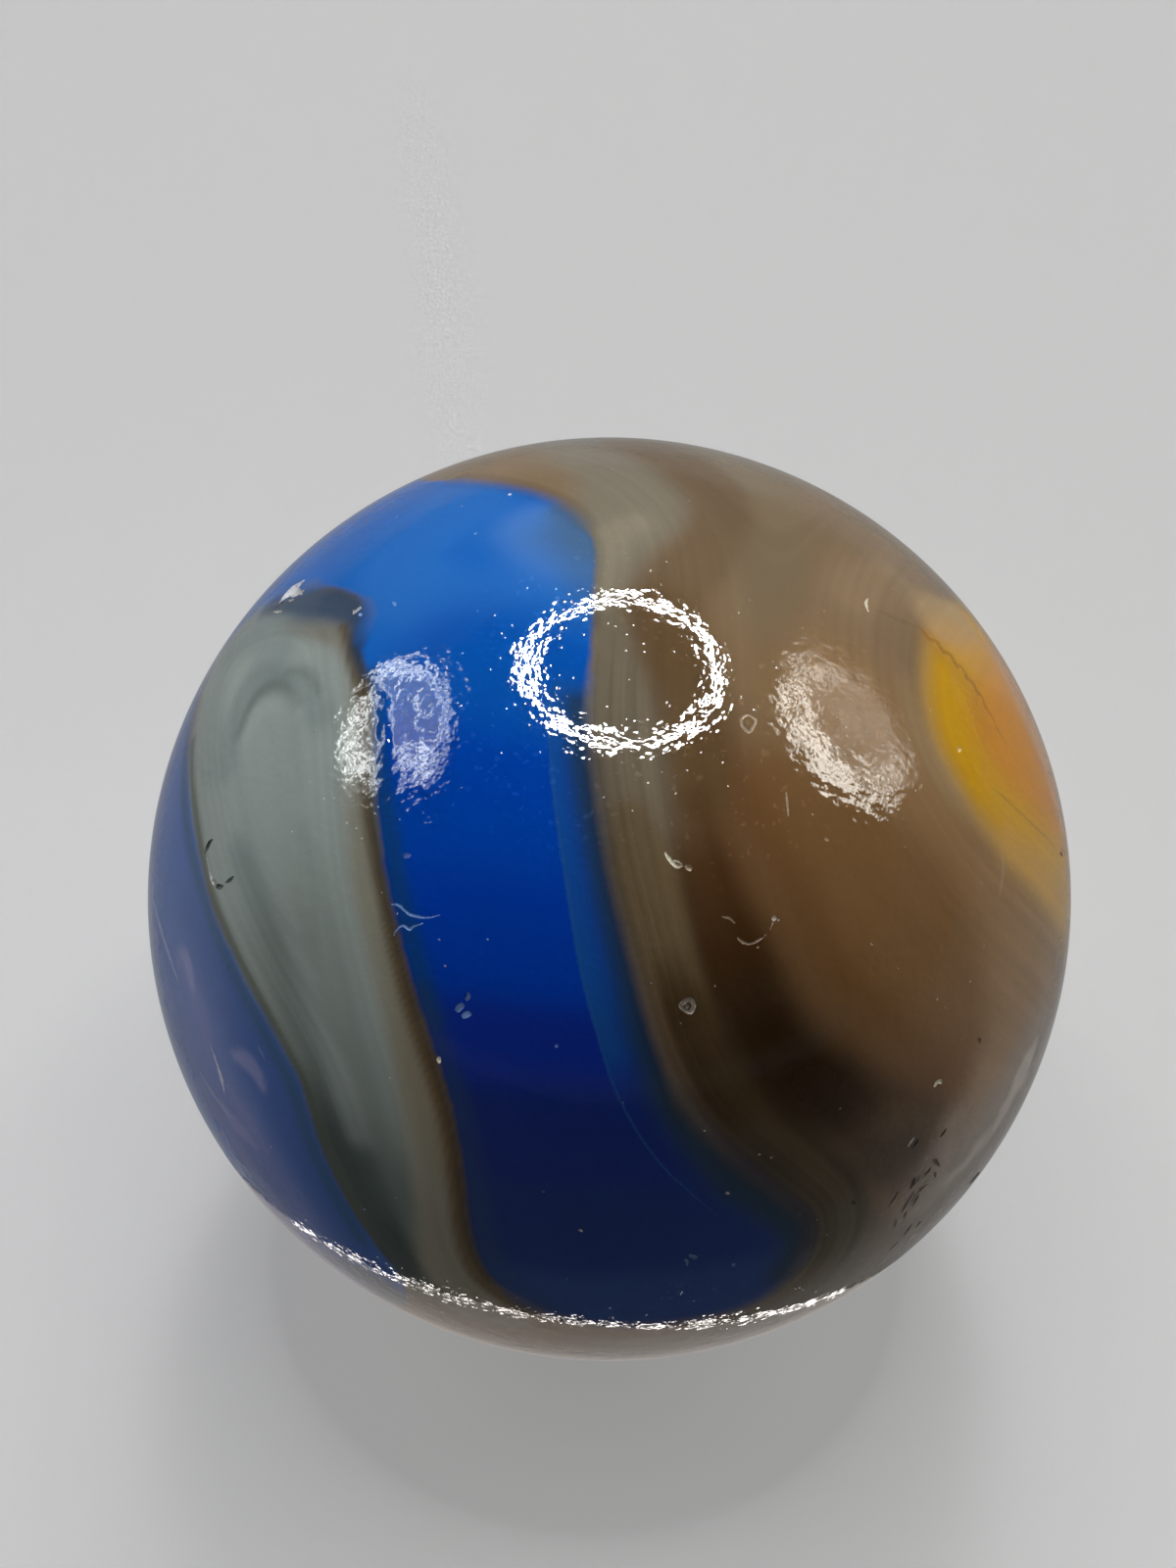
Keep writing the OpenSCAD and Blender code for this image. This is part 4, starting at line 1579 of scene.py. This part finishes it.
WRINKLE_MARKS = (
    # the wrinkled place at the lower right
    (WRINKLE_SHADE, 0.6, 0.7, False, ((44.9, -4.0, 0.1), (44.3, -4.6, 0.35), (43.6, -5.1, 0.1))),
    (WRINKLE_SHADE, 0.45, 0.7, False, ((43.1, -8.0, 0.1), (43.8, -8.8, 0.35), (44.8, -10.2, 0.1))),
    (WRINKLE_SHADE, 0.75, 0.7, False, (
        (43.1, -9.3, 0.1), (42.7, -9.9, 0.4), (42.0, -10.2, 0.4), (41.3, -10.7, 0.1),
    )),
    (PALE_CHIP, 0.6, 0.4, False, (
        (41.8, -8.4, 0.1), (41.4, -9.4, 0.35), (41.0, -10.2, 0.35), (40.8, -11.0, 0.1),
    )),
    (WRINKLE_SHADE, 0.45, 0.7, False, ((43.6, -10.7, 0.1), (44.2, -11.2, 0.3), (44.6, -12.1, 0.1))),
    (WRINKLE_SHADE, 0.7, 0.7, False, ((40.3, -9.5, 0.1), (40.3, -10.4, 0.45), (40.0, -11.5, 0.1))),
    (WRINKLE_SHADE, 0.7, 0.7, False, (
        (43.3, -12.6, 0.1), (42.6, -12.5, 0.35), (42.0, -12.8, 0.4), (41.6, -13.2, 0.1),
    )),
    (PALE_CHIP, 0.45, 0.4, False, ((41.6, -11.8, 0.1), (42.5, -11.6, 0.35), (43.3, -11.3, 0.1))),
    (WRINKLE_SHADE, 0.75, 0.7, False, (
        (40.9, -12.2, 0.1), (40.4, -13.2, 0.4), (39.9, -14.4, 0.4), (39.8, -15.5, 0.1),
    )),
    (PALE_CHIP, 0.5, 0.4, False, ((41.3, -12.9, 0.1), (41.1, -13.8, 0.3), (40.9, -15.0, 0.1))),
    (WRINKLE_SHADE, 0.45, 0.7, False, ((41.9, -13.4, 0.1), (41.8, -14.4, 0.35), (41.5, -15.6, 0.1))),
    (WRINKLE_SHADE, 0.45, 0.7, False, ((40.7, -16.0, 0.1), (40.5, -16.6, 0.3), (40.6, -17.3, 0.1))),
    (WRINKLE_SHADE, 0.3, 0.7, False, ((44.8, -21.0, 0.1), (45.0, -21.8, 0.35), (44.9, -22.6, 0.1))),
    (WRINKLE_SHADE, 0.4, 0.7, False, ((43.2, -20.4, 0.1), (42.8, -21.4, 0.35), (42.5, -22.4, 0.1))),
    (WRINKLE_SHADE, 0.4, 0.7, False, ((41.9, -23.2, 0.1), (41.4, -24.0, 0.3), (40.9, -24.8, 0.1))),
    (WRINKLE_SHADE, 0.3, 0.7, False, ((38.9, -16.4, 0.1), (39.1, -17.4, 0.35), (39.3, -18.4, 0.1))),
    (WRINKLE_SHADE, 0.3, 0.7, False, ((37.9, -10.4, 0.1), (37.4, -11.6, 0.3), (36.8, -12.9, 0.1))),
    (WRINKLE_SHADE, 0.35, 0.6, False, ((30.3, -8.3, 0.1), (30.8, -8.8, 0.35), (31.1, -9.3, 0.1))),
    (WRINKLE_SHADE, 0.3, 0.5, False, ((50.5, 6.4, 0.1), (50.8, 5.9, 0.35), (51.0, 5.3, 0.1))),
    # a notch at the rim, its grey painted shade
    (NOTCH_SHADE, 0.9, 0.6, False, (
        (56.2, -21.6, 0.3), (57.4, -22.2, 0.9), (58.6, -22.6, 0.8), (59.6, -22.8, 0.2),
    )),
    # frosted specks in the lower ribbon
    (FAINT_FROST, 0.9, 0.25, False, ((9.7, -11.2, 0.15), (10.2, -11.7, 0.4), (10.8, -12.2, 0.25))),
    (FAINT_FROST, 0.9, 0.25, False, ((9.2, -12.0, 0.15), (9.5, -12.5, 0.25), (9.6, -13.4, 0.1))),
    (BLUE_FROST, 0.6, 0.5, False, ((15.3, -14.2, 0.12), (15.5, -14.6, 0.25), (15.5, -15.0, 0.1))),
    (CREAM, 0.8, 0.6, False, ((-3.6, -6.0, 0.1), (-3.4, -6.2, 0.22), (-3.2, -6.4, 0.1))),
    (CREAM, 0.7, 0.6, False, ((13.9, -1.4, 0.1), (14.1, -1.6, 0.24), (14.3, -1.8, 0.1))),
    (BLUE_FROST, 0.9, 0.5, False, ((-6.7, 19.5, 0.1), (-6.5, 19.4, 0.2), (-6.3, 19.3, 0.1))),
)
MARKS = MOON_MARKS + RIBBON_MARKS + POOL_MARKS + RIGHT_MARKS + WRINKLE_MARKS
print("marks in all:", len(MARKS))

# %% [markdown]
# ## The cutters
#
# Each mark gets one closed, eight-sided grain that follows its course, half above the skin and
# half below it. All the grains together are one mesh, which a Boolean can take away in one go.

# %% The rings of one cutter
CUTTER_SIDES = 8
CUTTER_STEPS = 3
LEAST_WIDTH = 0.02


def cutter_rings(course, depth_share, closed):
    """Rings of points round a mark's course, half above the skin of the ball and half below."""
    line = flowing_line(course, closed, CUTTER_STEPS)
    if closed:
        line = line[:-1]
    spine = line[:, :3]
    width = np.radians(np.maximum(line[:, 3], LEAST_WIDTH))
    if closed:
        ahead = np.roll(spine, -1, axis=0) - np.roll(spine, 1, axis=0)
    else:
        ahead = np.gradient(spine, axis=0)
    aside = np.cross(spine, ahead)
    aside /= np.linalg.norm(aside, axis=1, keepdims=True)
    turn = np.linspace(0, 2 * np.pi, CUTTER_SIDES, endpoint=False)
    out = np.cos(turn)[None, :, None] * aside[:, None, :]
    down = depth_share * np.sin(turn)[None, :, None] * spine[:, None, :]
    return spine[:, None, :] + width[:, None, None] * (out + down)


print("sides of a cutter:", CUTTER_SIDES)

# %% [markdown]
# ## Skinning the cutters
#
# Neighbouring rings are joined by four-sided faces, and the two ends of an open grain are capped.
# A moon's grain closes on itself and needs no caps. The mesh is turned to lie as the ball lies.

# %% The mesh of all cutters
def cutter_faces(first, count, closed):
    """Faces that join a cutter's rings, where first is its first point's number."""
    joins = count if closed else count - 1
    faces = []
    for ring in range(joins):
        here = first + ring * CUTTER_SIDES
        there = first + (ring + 1) % count * CUTTER_SIDES
        for side in range(CUTTER_SIDES):
            after = (side + 1) % CUTTER_SIDES
            faces.append((here + side, here + after, there + after, there + side))
    if not closed:
        end = first + joins * CUTTER_SIDES
        faces.append(tuple(first + side for side in reversed(range(CUTTER_SIDES))))
        faces.append(tuple(end + side for side in range(CUTTER_SIDES)))
    return faces


def cutters_mesh():
    """All the cutters as one mesh in the ball's own place."""
    points = []
    faces = []
    for _, _, depth_share, closed, course in MARKS:
        rings = cutter_rings(course, depth_share, closed)
        faces.extend(cutter_faces(len(points), len(rings), closed))
        points.extend(rings.reshape(-1, 3).tolist())
    mesh = bpy.data.meshes.new("mark_cutters")
    turned = (BALL_RADIUS * np.array(points)) @ np.array(lie).T
    mesh.from_pydata(turned.tolist(), [], faces)
    mesh.validate()
    return mesh


cutters = cutters_mesh()
print("cutter faces:", len(cutters.polygons))

# %% [markdown]
# ## The swirl glass: lines along the flow
#
# The glass is one material. It starts with the brown and grey glass outside the blue, and draws
# the fine lines of the flow in it. The noise for them has four dimensions: three are the place on
# the ball, scaled down so that the noise hardly changes along a line, and the fourth is the
# flow's own measure, which changes quickly across the lines.

# %% The brown glass and its lines
FINE_SPACING = 0.8
FINE_DETAIL = 2.0
BROAD_SPACING = 2.4
BROAD_DETAIL = 1.0
LINE_DRIFT = 0.08
LINE_ROUGHNESS = 0.55
LINE_CONTRAST = 4.0

glass, tree = new_material("swirl_glass")
spot = place_node(tree, "ShaderNodeTexCoord").outputs["Object"]


def level_of(name):
    """A plain number stored on the mesh under that name."""
    return place_node(tree, "ShaderNodeAttribute", attribute_name=name).outputs["Fac"]


def colour_of(name):
    """A colour stored on the mesh under that name."""
    return place_node(tree, "ShaderNodeAttribute", attribute_name=name).outputs["Color"]


def strands(spacing, detail, strength):
    """Lines along the flow, from -strength to strength, spaced in degrees across it."""
    across = math_node(tree, "MULTIPLY", level_of("flow"), 1 / spacing)
    inputs = {"Vector": drift, "W": across, "Scale": 1.0, "Detail": detail, "Roughness": LINE_ROUGHNESS}
    lines = place_node(tree, "ShaderNodeTexNoise", inputs, noise_dimensions="4D").outputs["Fac"]
    centred = math_node(tree, "MULTIPLY_ADD", lines, LINE_CONTRAST, -0.5 * LINE_CONTRAST)
    return math_node(tree, "MULTIPLY", centred, strength)


drift = scaled(tree, spot, LINE_DRIFT * MM)
fine = strands(FINE_SPACING, FINE_DETAIL, level_of("fine_lines"))
broad = strands(BROAD_SPACING, BROAD_DETAIL, level_of("broad_lines"))
lightness = math_node(tree, "EXPONENT", math_node(tree, "ADD", fine, broad))
lined = scaled(tree, colour_of("earth"), lightness)
print("fine lines every", FINE_SPACING, "degrees")

# %% [markdown]
# ## The blue over the brown
#
# The blue glass lies over the brown with an edge as soft as its field says. A little noise makes
# the edge wander, so it doesn't look drawn with a compass. The pale band is mixed into the blue
# first, and the dark outline goes on last, a little outside the edge.

# %% The blue glass, its pale band and its outline
BAND_BLUE = (0.012, 0.09, 0.31)
BAND_SIDE = 0.22
BAND_FADE_IN = (1.0, 6.5)
BAND_LEAST = 0.08
BAND_MOST = 0.9
EDGE_WAVE = 4.0
EDGE_WANDER = 0.5
NIGHT = (0.012, 0.016, 0.02)
OUTLINE_PLACE = 0.35
OUTLINE_FADE = (0.27, 2.2)
OUTLINE_COVER = 0.7

blue = level_of("blue")
soft = level_of("soft")
in_band = smooth_range(tree, level_of("band"), -BAND_SIDE, BAND_SIDE)
in_band = math_node(tree, "MULTIPLY", in_band, level_of("band_cover"))
band_rise = smooth_range(tree, blue, *BAND_FADE_IN, BAND_LEAST, BAND_MOST)
in_band = math_node(tree, "MULTIPLY", in_band, band_rise)
blue_glass = mix_colour(tree, in_band, colour_of("sea"), rgb(BAND_BLUE))
wander = noise(tree, spot, EDGE_WAVE * MM, 2.0)["Fac"]
wander = math_node(tree, "MULTIPLY_ADD", wander, EDGE_WANDER, -0.5 * EDGE_WANDER)
edge = math_node(tree, "ADD", blue, wander)
in_blue = smooth_range(tree, edge, math_node(tree, "MULTIPLY", soft, -1.0), soft)
body = mix_colour(tree, in_blue, lined, blue_glass)
off_line = math_node(tree, "ABSOLUTE", math_node(tree, "ADD", edge, OUTLINE_PLACE))
off_line = math_node(tree, "DIVIDE", off_line, soft)
on_line = smooth_range(tree, off_line, *OUTLINE_FADE, 1.0, 0.0)
on_line = math_node(tree, "MULTIPLY", on_line, level_of("outline"))
body = mix_colour(tree, math_node(tree, "MULTIPLY", on_line, OUTLINE_COVER), body, rgb(NIGHT))
print("edge wanders by, degrees:", EDGE_WANDER / 2)

# %% [markdown]
# ## Threads over the glass
#
# The threads' gap is counted in their own half widths, so one threshold draws them all, however
# wide each is. Fine noise frays their sides.

# %% The threads
FRAY_CELL = 0.09
FRAY_SIZE = 1.6
THREAD_SIDE = (0.3, 1.3)

fray = noise(tree, spot, MM / FRAY_CELL, 2.0)["Fac"]
fray = math_node(tree, "MULTIPLY_ADD", fray, FRAY_SIZE, -0.5 * FRAY_SIZE)
off_thread = math_node(tree, "ABSOLUTE", math_node(tree, "ADD", level_of("thread"), fray))
on_thread = smooth_range(tree, off_thread, *THREAD_SIDE, 1.0, 0.0)
on_thread = math_node(tree, "MULTIPLY", on_thread, level_of("thread_cover"))
body = mix_colour(tree, on_thread, body, colour_of("thread_tint"))
print("threads fray over, mm:", FRAY_CELL)

# %% [markdown]
# ## Dust, and painted glints
#
# Dust specks are cells of a Voronoi pattern. Each cell has a random colour, and two of its
# channels decide whether the cell holds a speck and how large it is. The place is ruffled by
# noise first, so that no speck is round. A speck lightens the glass under it: dust in most
# places, and painted glints of the ring lamp round its highlight.

# %% The dust and painted glints
DUST_CELL = 0.15
DUST_RUFFLE = 0.22
DUST_SPREAD = 0.4
DUST_LEAST = 0.02
DUST_SIDE = (-0.15, 0.1)
DUST_SHARE = 0.55
DUST_AND_GLINT_GAIN = 1.35
DUST_AND_GLINT_LIFT = 0.013

ruffle = noise(tree, spot, MM / DUST_CELL, 1.0)["Color"]
ruffled = vector_math(tree, "MULTIPLY_ADD", ruffle, (DUST_RUFFLE / MM,) * 3, spot)
dust = place_node(tree, "ShaderNodeTexVoronoi", {"Vector": ruffled, "Scale": MM / DUST_CELL}).outputs
dust_pick = place_node(tree, "ShaderNodeSeparateColor", {0: dust["Color"]}).outputs
dust_size = math_node(tree, "MULTIPLY_ADD", dust_pick[1], DUST_SPREAD, DUST_LEAST)
dust_and_glint_cover = math_node(tree, "SUBTRACT", dust["Distance"], dust_size)
dust_and_glint_cover = smooth_range(tree, dust_and_glint_cover, *DUST_SIDE, 1.0, 0.0)
dust_holds = math_node(tree, "GREATER_THAN", dust_pick[0], 1 - DUST_SHARE)
dust_and_glint_cover = math_node(tree, "MULTIPLY", dust_and_glint_cover, dust_holds)
dust_and_glint_cover = math_node(tree, "MULTIPLY", dust_and_glint_cover, level_of("speckle"))
# the lightened colour: dust, and painted glints near the ring highlight
dust_and_glint_colour = vector_math(tree, "MULTIPLY_ADD", body, (DUST_AND_GLINT_GAIN,) * 3, (DUST_AND_GLINT_LIFT,) * 3)
body = mix_colour(tree, dust_and_glint_cover, body, dust_and_glint_colour)
print("dust cell, mm:", DUST_CELL)

# %% [markdown]
# ## The skin left by the rollers
#
# The rollers leave the skin a few thousandths of a millimetre uneven. That is far too shallow to
# see as shape, but it breaks up every highlight, so it is the one thing that makes the gloss look
# real. Two sizes of soft noise give the unevenness and a Voronoi pattern the tiny grit. They add
# up to a height, which the bump node turns into light and shade at the end.

# %% The height of the skin
PEEL_CELL = 0.12
PEEL_HEIGHT = 4.5e-6
WAVE_CELL = 0.30
WAVE_HEIGHT = 9.0e-6
PATCH_WAVE = 0.5
PATCH_RANGE = (0.35, 0.7)
PATCH_LEVELS = (0.7, 1.5)
GRIT_CELL = 0.20
GRIT_SIZE = 0.15
GRIT_SHARE = 0.7
GRIT_HEIGHT = 3.5e-6

peel = noise(tree, spot, MM / PEEL_CELL, 1.0)["Fac"]
waves = noise(tree, spot, MM / WAVE_CELL, 1.0)["Fac"]
patches = noise(tree, spot, PATCH_WAVE * MM, 1.0)["Fac"]
roughening = smooth_range(tree, patches, *PATCH_RANGE, *PATCH_LEVELS)
skin = math_node(tree, "MULTIPLY", peel, PEEL_HEIGHT)
skin = math_node(tree, "MULTIPLY_ADD", waves, WAVE_HEIGHT, skin)
skin = math_node(tree, "MULTIPLY", skin, roughening)
grit = place_node(tree, "ShaderNodeTexVoronoi", {"Vector": spot, "Scale": MM / GRIT_CELL}).outputs
grit_pick = place_node(tree, "ShaderNodeSeparateColor", {0: grit["Color"]}).outputs
grit_holds = math_node(tree, "GREATER_THAN", grit_pick[0], 1 - GRIT_SHARE)
grain = smooth_range(tree, grit["Distance"], 0.0, GRIT_SIZE, GRIT_HEIGHT, 0.0)
skin = math_node(tree, "MULTIPLY_ADD", grain, grit_holds, skin)
print("skin uneven by, micrometres:", round(WAVE_HEIGHT * MM**2, 1))

# %% [markdown]
# ## The step at the pool's edge
#
# Where the pool meets the ribbon its edge stands a little proud, and the highlight there is split
# in two. The height falls over a few degrees inside the blue and comes back slowly beyond, and
# the same waves as in the skin make the step ragged.

# %% The raised edge, and the bump
STEP_WIDTH = 3.2
STEP_RETURN = 20.0
STEP_HEIGHT = 60e-6
STEP_WANDER = 1.8

ragged = math_node(tree, "SUBTRACT", edge, 0.5 * STEP_WANDER)
ragged = math_node(tree, "MULTIPLY_ADD", waves, STEP_WANDER, ragged)
step_down = smooth_range(tree, ragged, 0.0, STEP_WIDTH, 0.0, -STEP_HEIGHT)
step_back = smooth_range(tree, ragged, STEP_WIDTH, STEP_RETURN, 1.0, 0.0)
step = math_node(tree, "MULTIPLY", step_down, step_back)
skin = math_node(tree, "MULTIPLY_ADD", step, level_of("raised"), skin)
bump = place_node(tree, "ShaderNodeBump", {"Height": skin, "Distance": 1.0, "Strength": 1.0}).outputs[0]
print("step, mm:", STEP_HEIGHT * MM)

# %% [markdown]
# ## Frosted glass and painted shade in the bruises
#
# Bruised glass is frosted: paler than the glass round it, and rough. In the dark nicks and folds
# the mark's tint is painted shade instead. How far a spot lies below the true sphere says how
# frosted it is, so the frosting ends exactly where the cut does.

# %% The frosting, and the finished shader
FROST_DEPTH = 4e-6
FROST_CELL = 0.05
FROST_GRAIN = (0.3, 0.6)
FROST_LEAST = 0.55
SKIN_ROUGHNESS = 0.04
FROST_ROUGHNESS = 0.5

cut = smooth_range(tree, level_of("cut"), 0.0, FROST_DEPTH)
mark_cover = math_node(tree, "MULTIPLY", cut, level_of("mark_cover"))
grains = noise(tree, spot, MM / FROST_CELL, 2.0)["Fac"]
grains = smooth_range(tree, grains, *FROST_GRAIN, FROST_LEAST, 1.0)
mark_cover = math_node(tree, "MULTIPLY", mark_cover, grains)
marked_glass = mix_colour(tree, mark_cover, body, colour_of("mark"))
roughness = smooth_range(tree, cut, 0.0, 1.0, SKIN_ROUGHNESS, FROST_ROUGHNESS)
glass_inputs = {"Base Color": marked_glass, "Roughness": roughness, "Normal": bump}
shader = place_node(tree, "ShaderNodeBsdfPrincipled", glass_inputs)
place_node(tree, "ShaderNodeOutputMaterial", {"Surface": shader.outputs[0]})
print("nodes in the glass:", len(tree.nodes))

# %% [markdown]
# ## An even ball by Geometry Nodes
#
# Real marbles are rolled round, and this one grows round too. A plain UV sphere bunches its faces
# at the poles. A gridded cube, pushed out to the sphere, has no poles, and with the tangent of
# its grid's angle its faces are nearly even, so the fields are carried as finely everywhere.
# This is the first of four short functions that build the Geometry Nodes tree.

# %% The even ball
def even_ball(tree, given):
    """A cube's grid pushed out to the sphere; returns the geometry's output socket."""
    cube = place_node(tree, "GeometryNodeMeshCube", {"Size": (2, 2, 2)})
    for axis in "XYZ":
        tree.links.new(given["Rows"], cube.inputs["Vertices " + axis])
    corner = place_node(tree, "GeometryNodeInputPosition").outputs[0]
    split = place_node(tree, "ShaderNodeSeparateXYZ", {0: corner}).outputs
    angles = [math_node(tree, "MULTIPLY", split[axis], math.pi / 4) for axis in "XYZ"]
    spread = [math_node(tree, "TANGENT", angle) for angle in angles]
    join = place_node(tree, "ShaderNodeCombineXYZ", dict(enumerate(spread))).outputs[0]
    grown = scaled(tree, vector_math(tree, "NORMALIZE", join), given["Radius"])
    inputs = {"Geometry": cube.outputs["Mesh"], "Position": grown}
    return place_node(tree, "GeometryNodeSetPosition", inputs).outputs[0]


print("tangent at the rim of a cube's side:", round(math.tan(math.pi / 4), 3))

# %% [markdown]
# ## Jagged cutters
#
# A flake of glass never breaks off along a smooth line. Noise shifts every point of the cutters
# by a few hundredths of a millimetre, which is enough to make each cut look broken out.

# %% The jagged cutters
NOISE_MIDDLE = (0.5, 0.5, 0.5)


def jagged_cutters(tree, given):
    """The cutters with their points shifted at random; returns the geometry's output socket."""
    where = place_node(tree, "GeometryNodeInputPosition").outputs[0]
    cell = math_node(tree, "DIVIDE", 1.0, given["Jag Cell"])
    shift = noise(tree, where, cell, 1.0)["Color"]
    centred = vector_math(tree, "SUBTRACT", shift, NOISE_MIDDLE)
    jag = scaled(tree, centred, given["Jag Size"])
    inputs = {"Geometry": given["Cutters"], "Offset": jag}
    return place_node(tree, "GeometryNodeSetPosition", inputs).outputs[0]


print("noise is centred by taking away", NOISE_MIDDLE[0])

# %% [markdown]
# ## Tiny specks
#
# Besides its named marks the ball is peppered with tiny pits. One small grain is strewn over the
# skin in random sizes, and the Boolean takes every grain away together with the cutters. A grain
# has only twenty faces, because there are many of it.

# %% The strewn specks
SPECK_LEAST = (0.5, 0.5, 0.4)
SPECK_MOST = (1.6, 1.2, 0.9)


def strewn_specks(tree, given, ball_skin):
    """Small grains strewn over the skin; returns the geometry's output socket."""
    inputs = {"Mesh": ball_skin, "Density": given["Speck Count"], "Seed": given["Seed"]}
    strewn = place_node(tree, "GeometryNodeDistributePointsOnFaces", inputs).outputs
    inputs = {"Radius": given["Speck Size"], "Subdivisions": 1}
    speck = place_node(tree, "GeometryNodeMeshIcoSphere", inputs).outputs["Mesh"]
    inputs = {"Min": SPECK_LEAST, "Max": SPECK_MOST, "Seed": given["Seed"]}
    sizes = place_node(tree, "FunctionNodeRandomValue", inputs, data_type="FLOAT_VECTOR")
    inputs = {
        "Points": strewn["Points"],
        "Instance": speck,
        "Rotation": strewn["Rotation"],
        "Scale": sizes.outputs["Value"],
    }
    specks = place_node(tree, "GeometryNodeInstanceOnPoints", inputs)
    return place_node(tree, "GeometryNodeRealizeInstances", {0: specks.outputs[0]}).outputs[0]


print("specks are scaled by", min(SPECK_LEAST), "to", max(SPECK_MOST))

# %% [markdown]
# ## Cutting the ball
#
# The tree's inputs are named sizes, so the same tree could make any marble. It rounds the ball,
# takes cutters and specks away with one exact Boolean, shades the skin smooth and gives it its
# glass.

# %% The Geometry Nodes tree
BALL_INPUTS = (
    ("Radius", "Float"),
    ("Rows", "Int"),
    ("Glass", "Material"),
    ("Jag Cell", "Float"),
    ("Jag Size", "Float"),
    ("Speck Count", "Float"),
    ("Speck Size", "Float"),
    ("Seed", "Int"),
)


def ball_tree():
    """Geometry Nodes that round a gridded cube into an even ball and cut the marks out of it."""
    tree = bpy.data.node_groups.new("rolled_ball", "GeometryNodeTree")
    new_socket = tree.interface.new_socket
    new_socket("Cutters", in_out="INPUT", socket_type="NodeSocketGeometry")
    new_socket("Geometry", in_out="OUTPUT", socket_type="NodeSocketGeometry")
    sockets = {}
    for name, kind in BALL_INPUTS:
        sockets[name] = new_socket(name, in_out="INPUT", socket_type="NodeSocket" + kind).identifier
    given = place_node(tree, "NodeGroupInput").outputs
    ball_skin = even_ball(tree, given)
    cut = place_node(
        tree, "GeometryNodeMeshBoolean", {"Mesh 1": ball_skin}, operation="DIFFERENCE", solver="EXACT"
    )
    tree.links.new(jagged_cutters(tree, given), cut.inputs["Mesh 2"])
    tree.links.new(strewn_specks(tree, given, ball_skin), cut.inputs["Mesh 2"])
    smooth = place_node(tree, "GeometryNodeSetShadeSmooth", {"Geometry": cut.outputs["Mesh"]})
    realized = place_node(tree, "GeometryNodeRealizeInstances", {0: smooth.outputs[0]}).outputs[0]
    inputs = {"Geometry": realized, "Material": given["Glass"]}
    painted = place_node(tree, "GeometryNodeSetMaterial", inputs).outputs[0]
    place_node(tree, "NodeGroupOutput", {0: painted})
    return tree, sockets


rounding, sockets = ball_tree()
print("inputs of the tree:", ", ".join(sockets))

# %% [markdown]
# ## The ball's own mesh
#
# The tree runs as a modifier on an object that holds only the cutters. Its result is copied as a
# plain mesh, and the object with its modifier is thrown away, so that what goes on stage is a
# mesh and nothing else. Edges sharper than the given angle stay sharp, and those are the cuts'.

# %% The ball
BALL_ROWS = 120
JAG_CELL = 0.05
JAG_SIZE = 0.03
SPECK_COUNT = 170
SPECK_SIZE = 0.022
SPECK_SEED = 7
SHARP_EDGE = math.radians(22)

ball_inputs = {
    "Radius": BALL_RADIUS,
    "Rows": BALL_ROWS + 1,
    "Glass": glass,
    "Jag Cell": JAG_CELL / MM,
    "Jag Size": JAG_SIZE / MM,
    "Speck Count": SPECK_COUNT / (4 * math.pi * BALL_RADIUS**2),
    "Speck Size": SPECK_SIZE / MM,
    "Seed": SPECK_SEED,
}
seed_object = new_object("seed", cutters)
modifier = seed_object.modifiers.new("rolled_ball", "NODES")
modifier.node_group = rounding
for name, value in ball_inputs.items():
    modifier[sockets[name]] = value
graph = bpy.context.evaluated_depsgraph_get()
ball_mesh = bpy.data.meshes.new_from_object(seed_object.evaluated_get(graph), depsgraph=graph)
ball_mesh.name = "swirl_ball"
bpy.data.objects.remove(seed_object)
ball_mesh.set_sharp_from_angle(angle=SHARP_EDGE)
ball = new_object("swirl_ball", ball_mesh)
ball_mesh.calc_loop_triangles()
print("ball vertices:", len(ball_mesh.vertices), "triangles:", len(ball_mesh.loop_triangles))

# %% [markdown]
# ## Painting the ball
#
# Every vertex is asked for its place on the map, and every field is worked out there and stored
# on the mesh. The bruises add three fields of their own: how deep a vertex lies below the true
# sphere, and the tint and cover of the nearest mark.

# %% The fields of the bruises
MARK_SOFTNESS = 1.5
SPECK_COVER = 0.6


def bruise_fields(places, reach):
    """The depth below the sphere, and the tint and cover of the marks, at each place."""
    tints = [(tint, 1.0, MARK_SOFTNESS, course) for tint, _, _, _, course in MARKS]
    covers = [(cover, 1.0, MARK_SOFTNESS, course) for _, cover, _, _, course in MARKS]
    return {
        "cut": BALL_RADIUS - reach,
        "mark": lay(np.tile(FROST, (len(places), 1)), places, tints),
        "mark_cover": lay_level(places, SPECK_COVER, covers),
    }


corners = np.empty(len(ball_mesh.vertices) * 3)
ball_mesh.vertices.foreach_get("co", corners)
corners = corners.reshape(-1, 3)
reach = np.linalg.norm(corners, axis=1, keepdims=True)
places = corners / reach @ np.array(lie)
fields = painted_fields(places)
fields.update(bruise_fields(places, reach[:, 0]))
print("fields worked out:", len(fields))

# %% [markdown]
# ## Storing the fields
#
# A field of plain numbers and a field of colours are stored a little differently: a colour has an
# alpha as well.

# %% Storing the fields on the mesh
for name, values in fields.items():
    if values.ndim == 2:
        store = ball_mesh.attributes.new(name, "FLOAT_COLOR", "POINT")
        store.data.foreach_set("color", np.hstack([values, np.ones((len(values), 1))]).ravel())
    else:
        store = ball_mesh.attributes.new(name, "FLOAT", "POINT")
        store.data.foreach_set("value", values)
    print("field", name, "from", round(float(values.min()), 6), "to", round(float(values.max()), 6))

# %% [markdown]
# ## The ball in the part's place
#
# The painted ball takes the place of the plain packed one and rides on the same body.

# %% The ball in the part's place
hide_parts("marble")
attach(ball, "root")
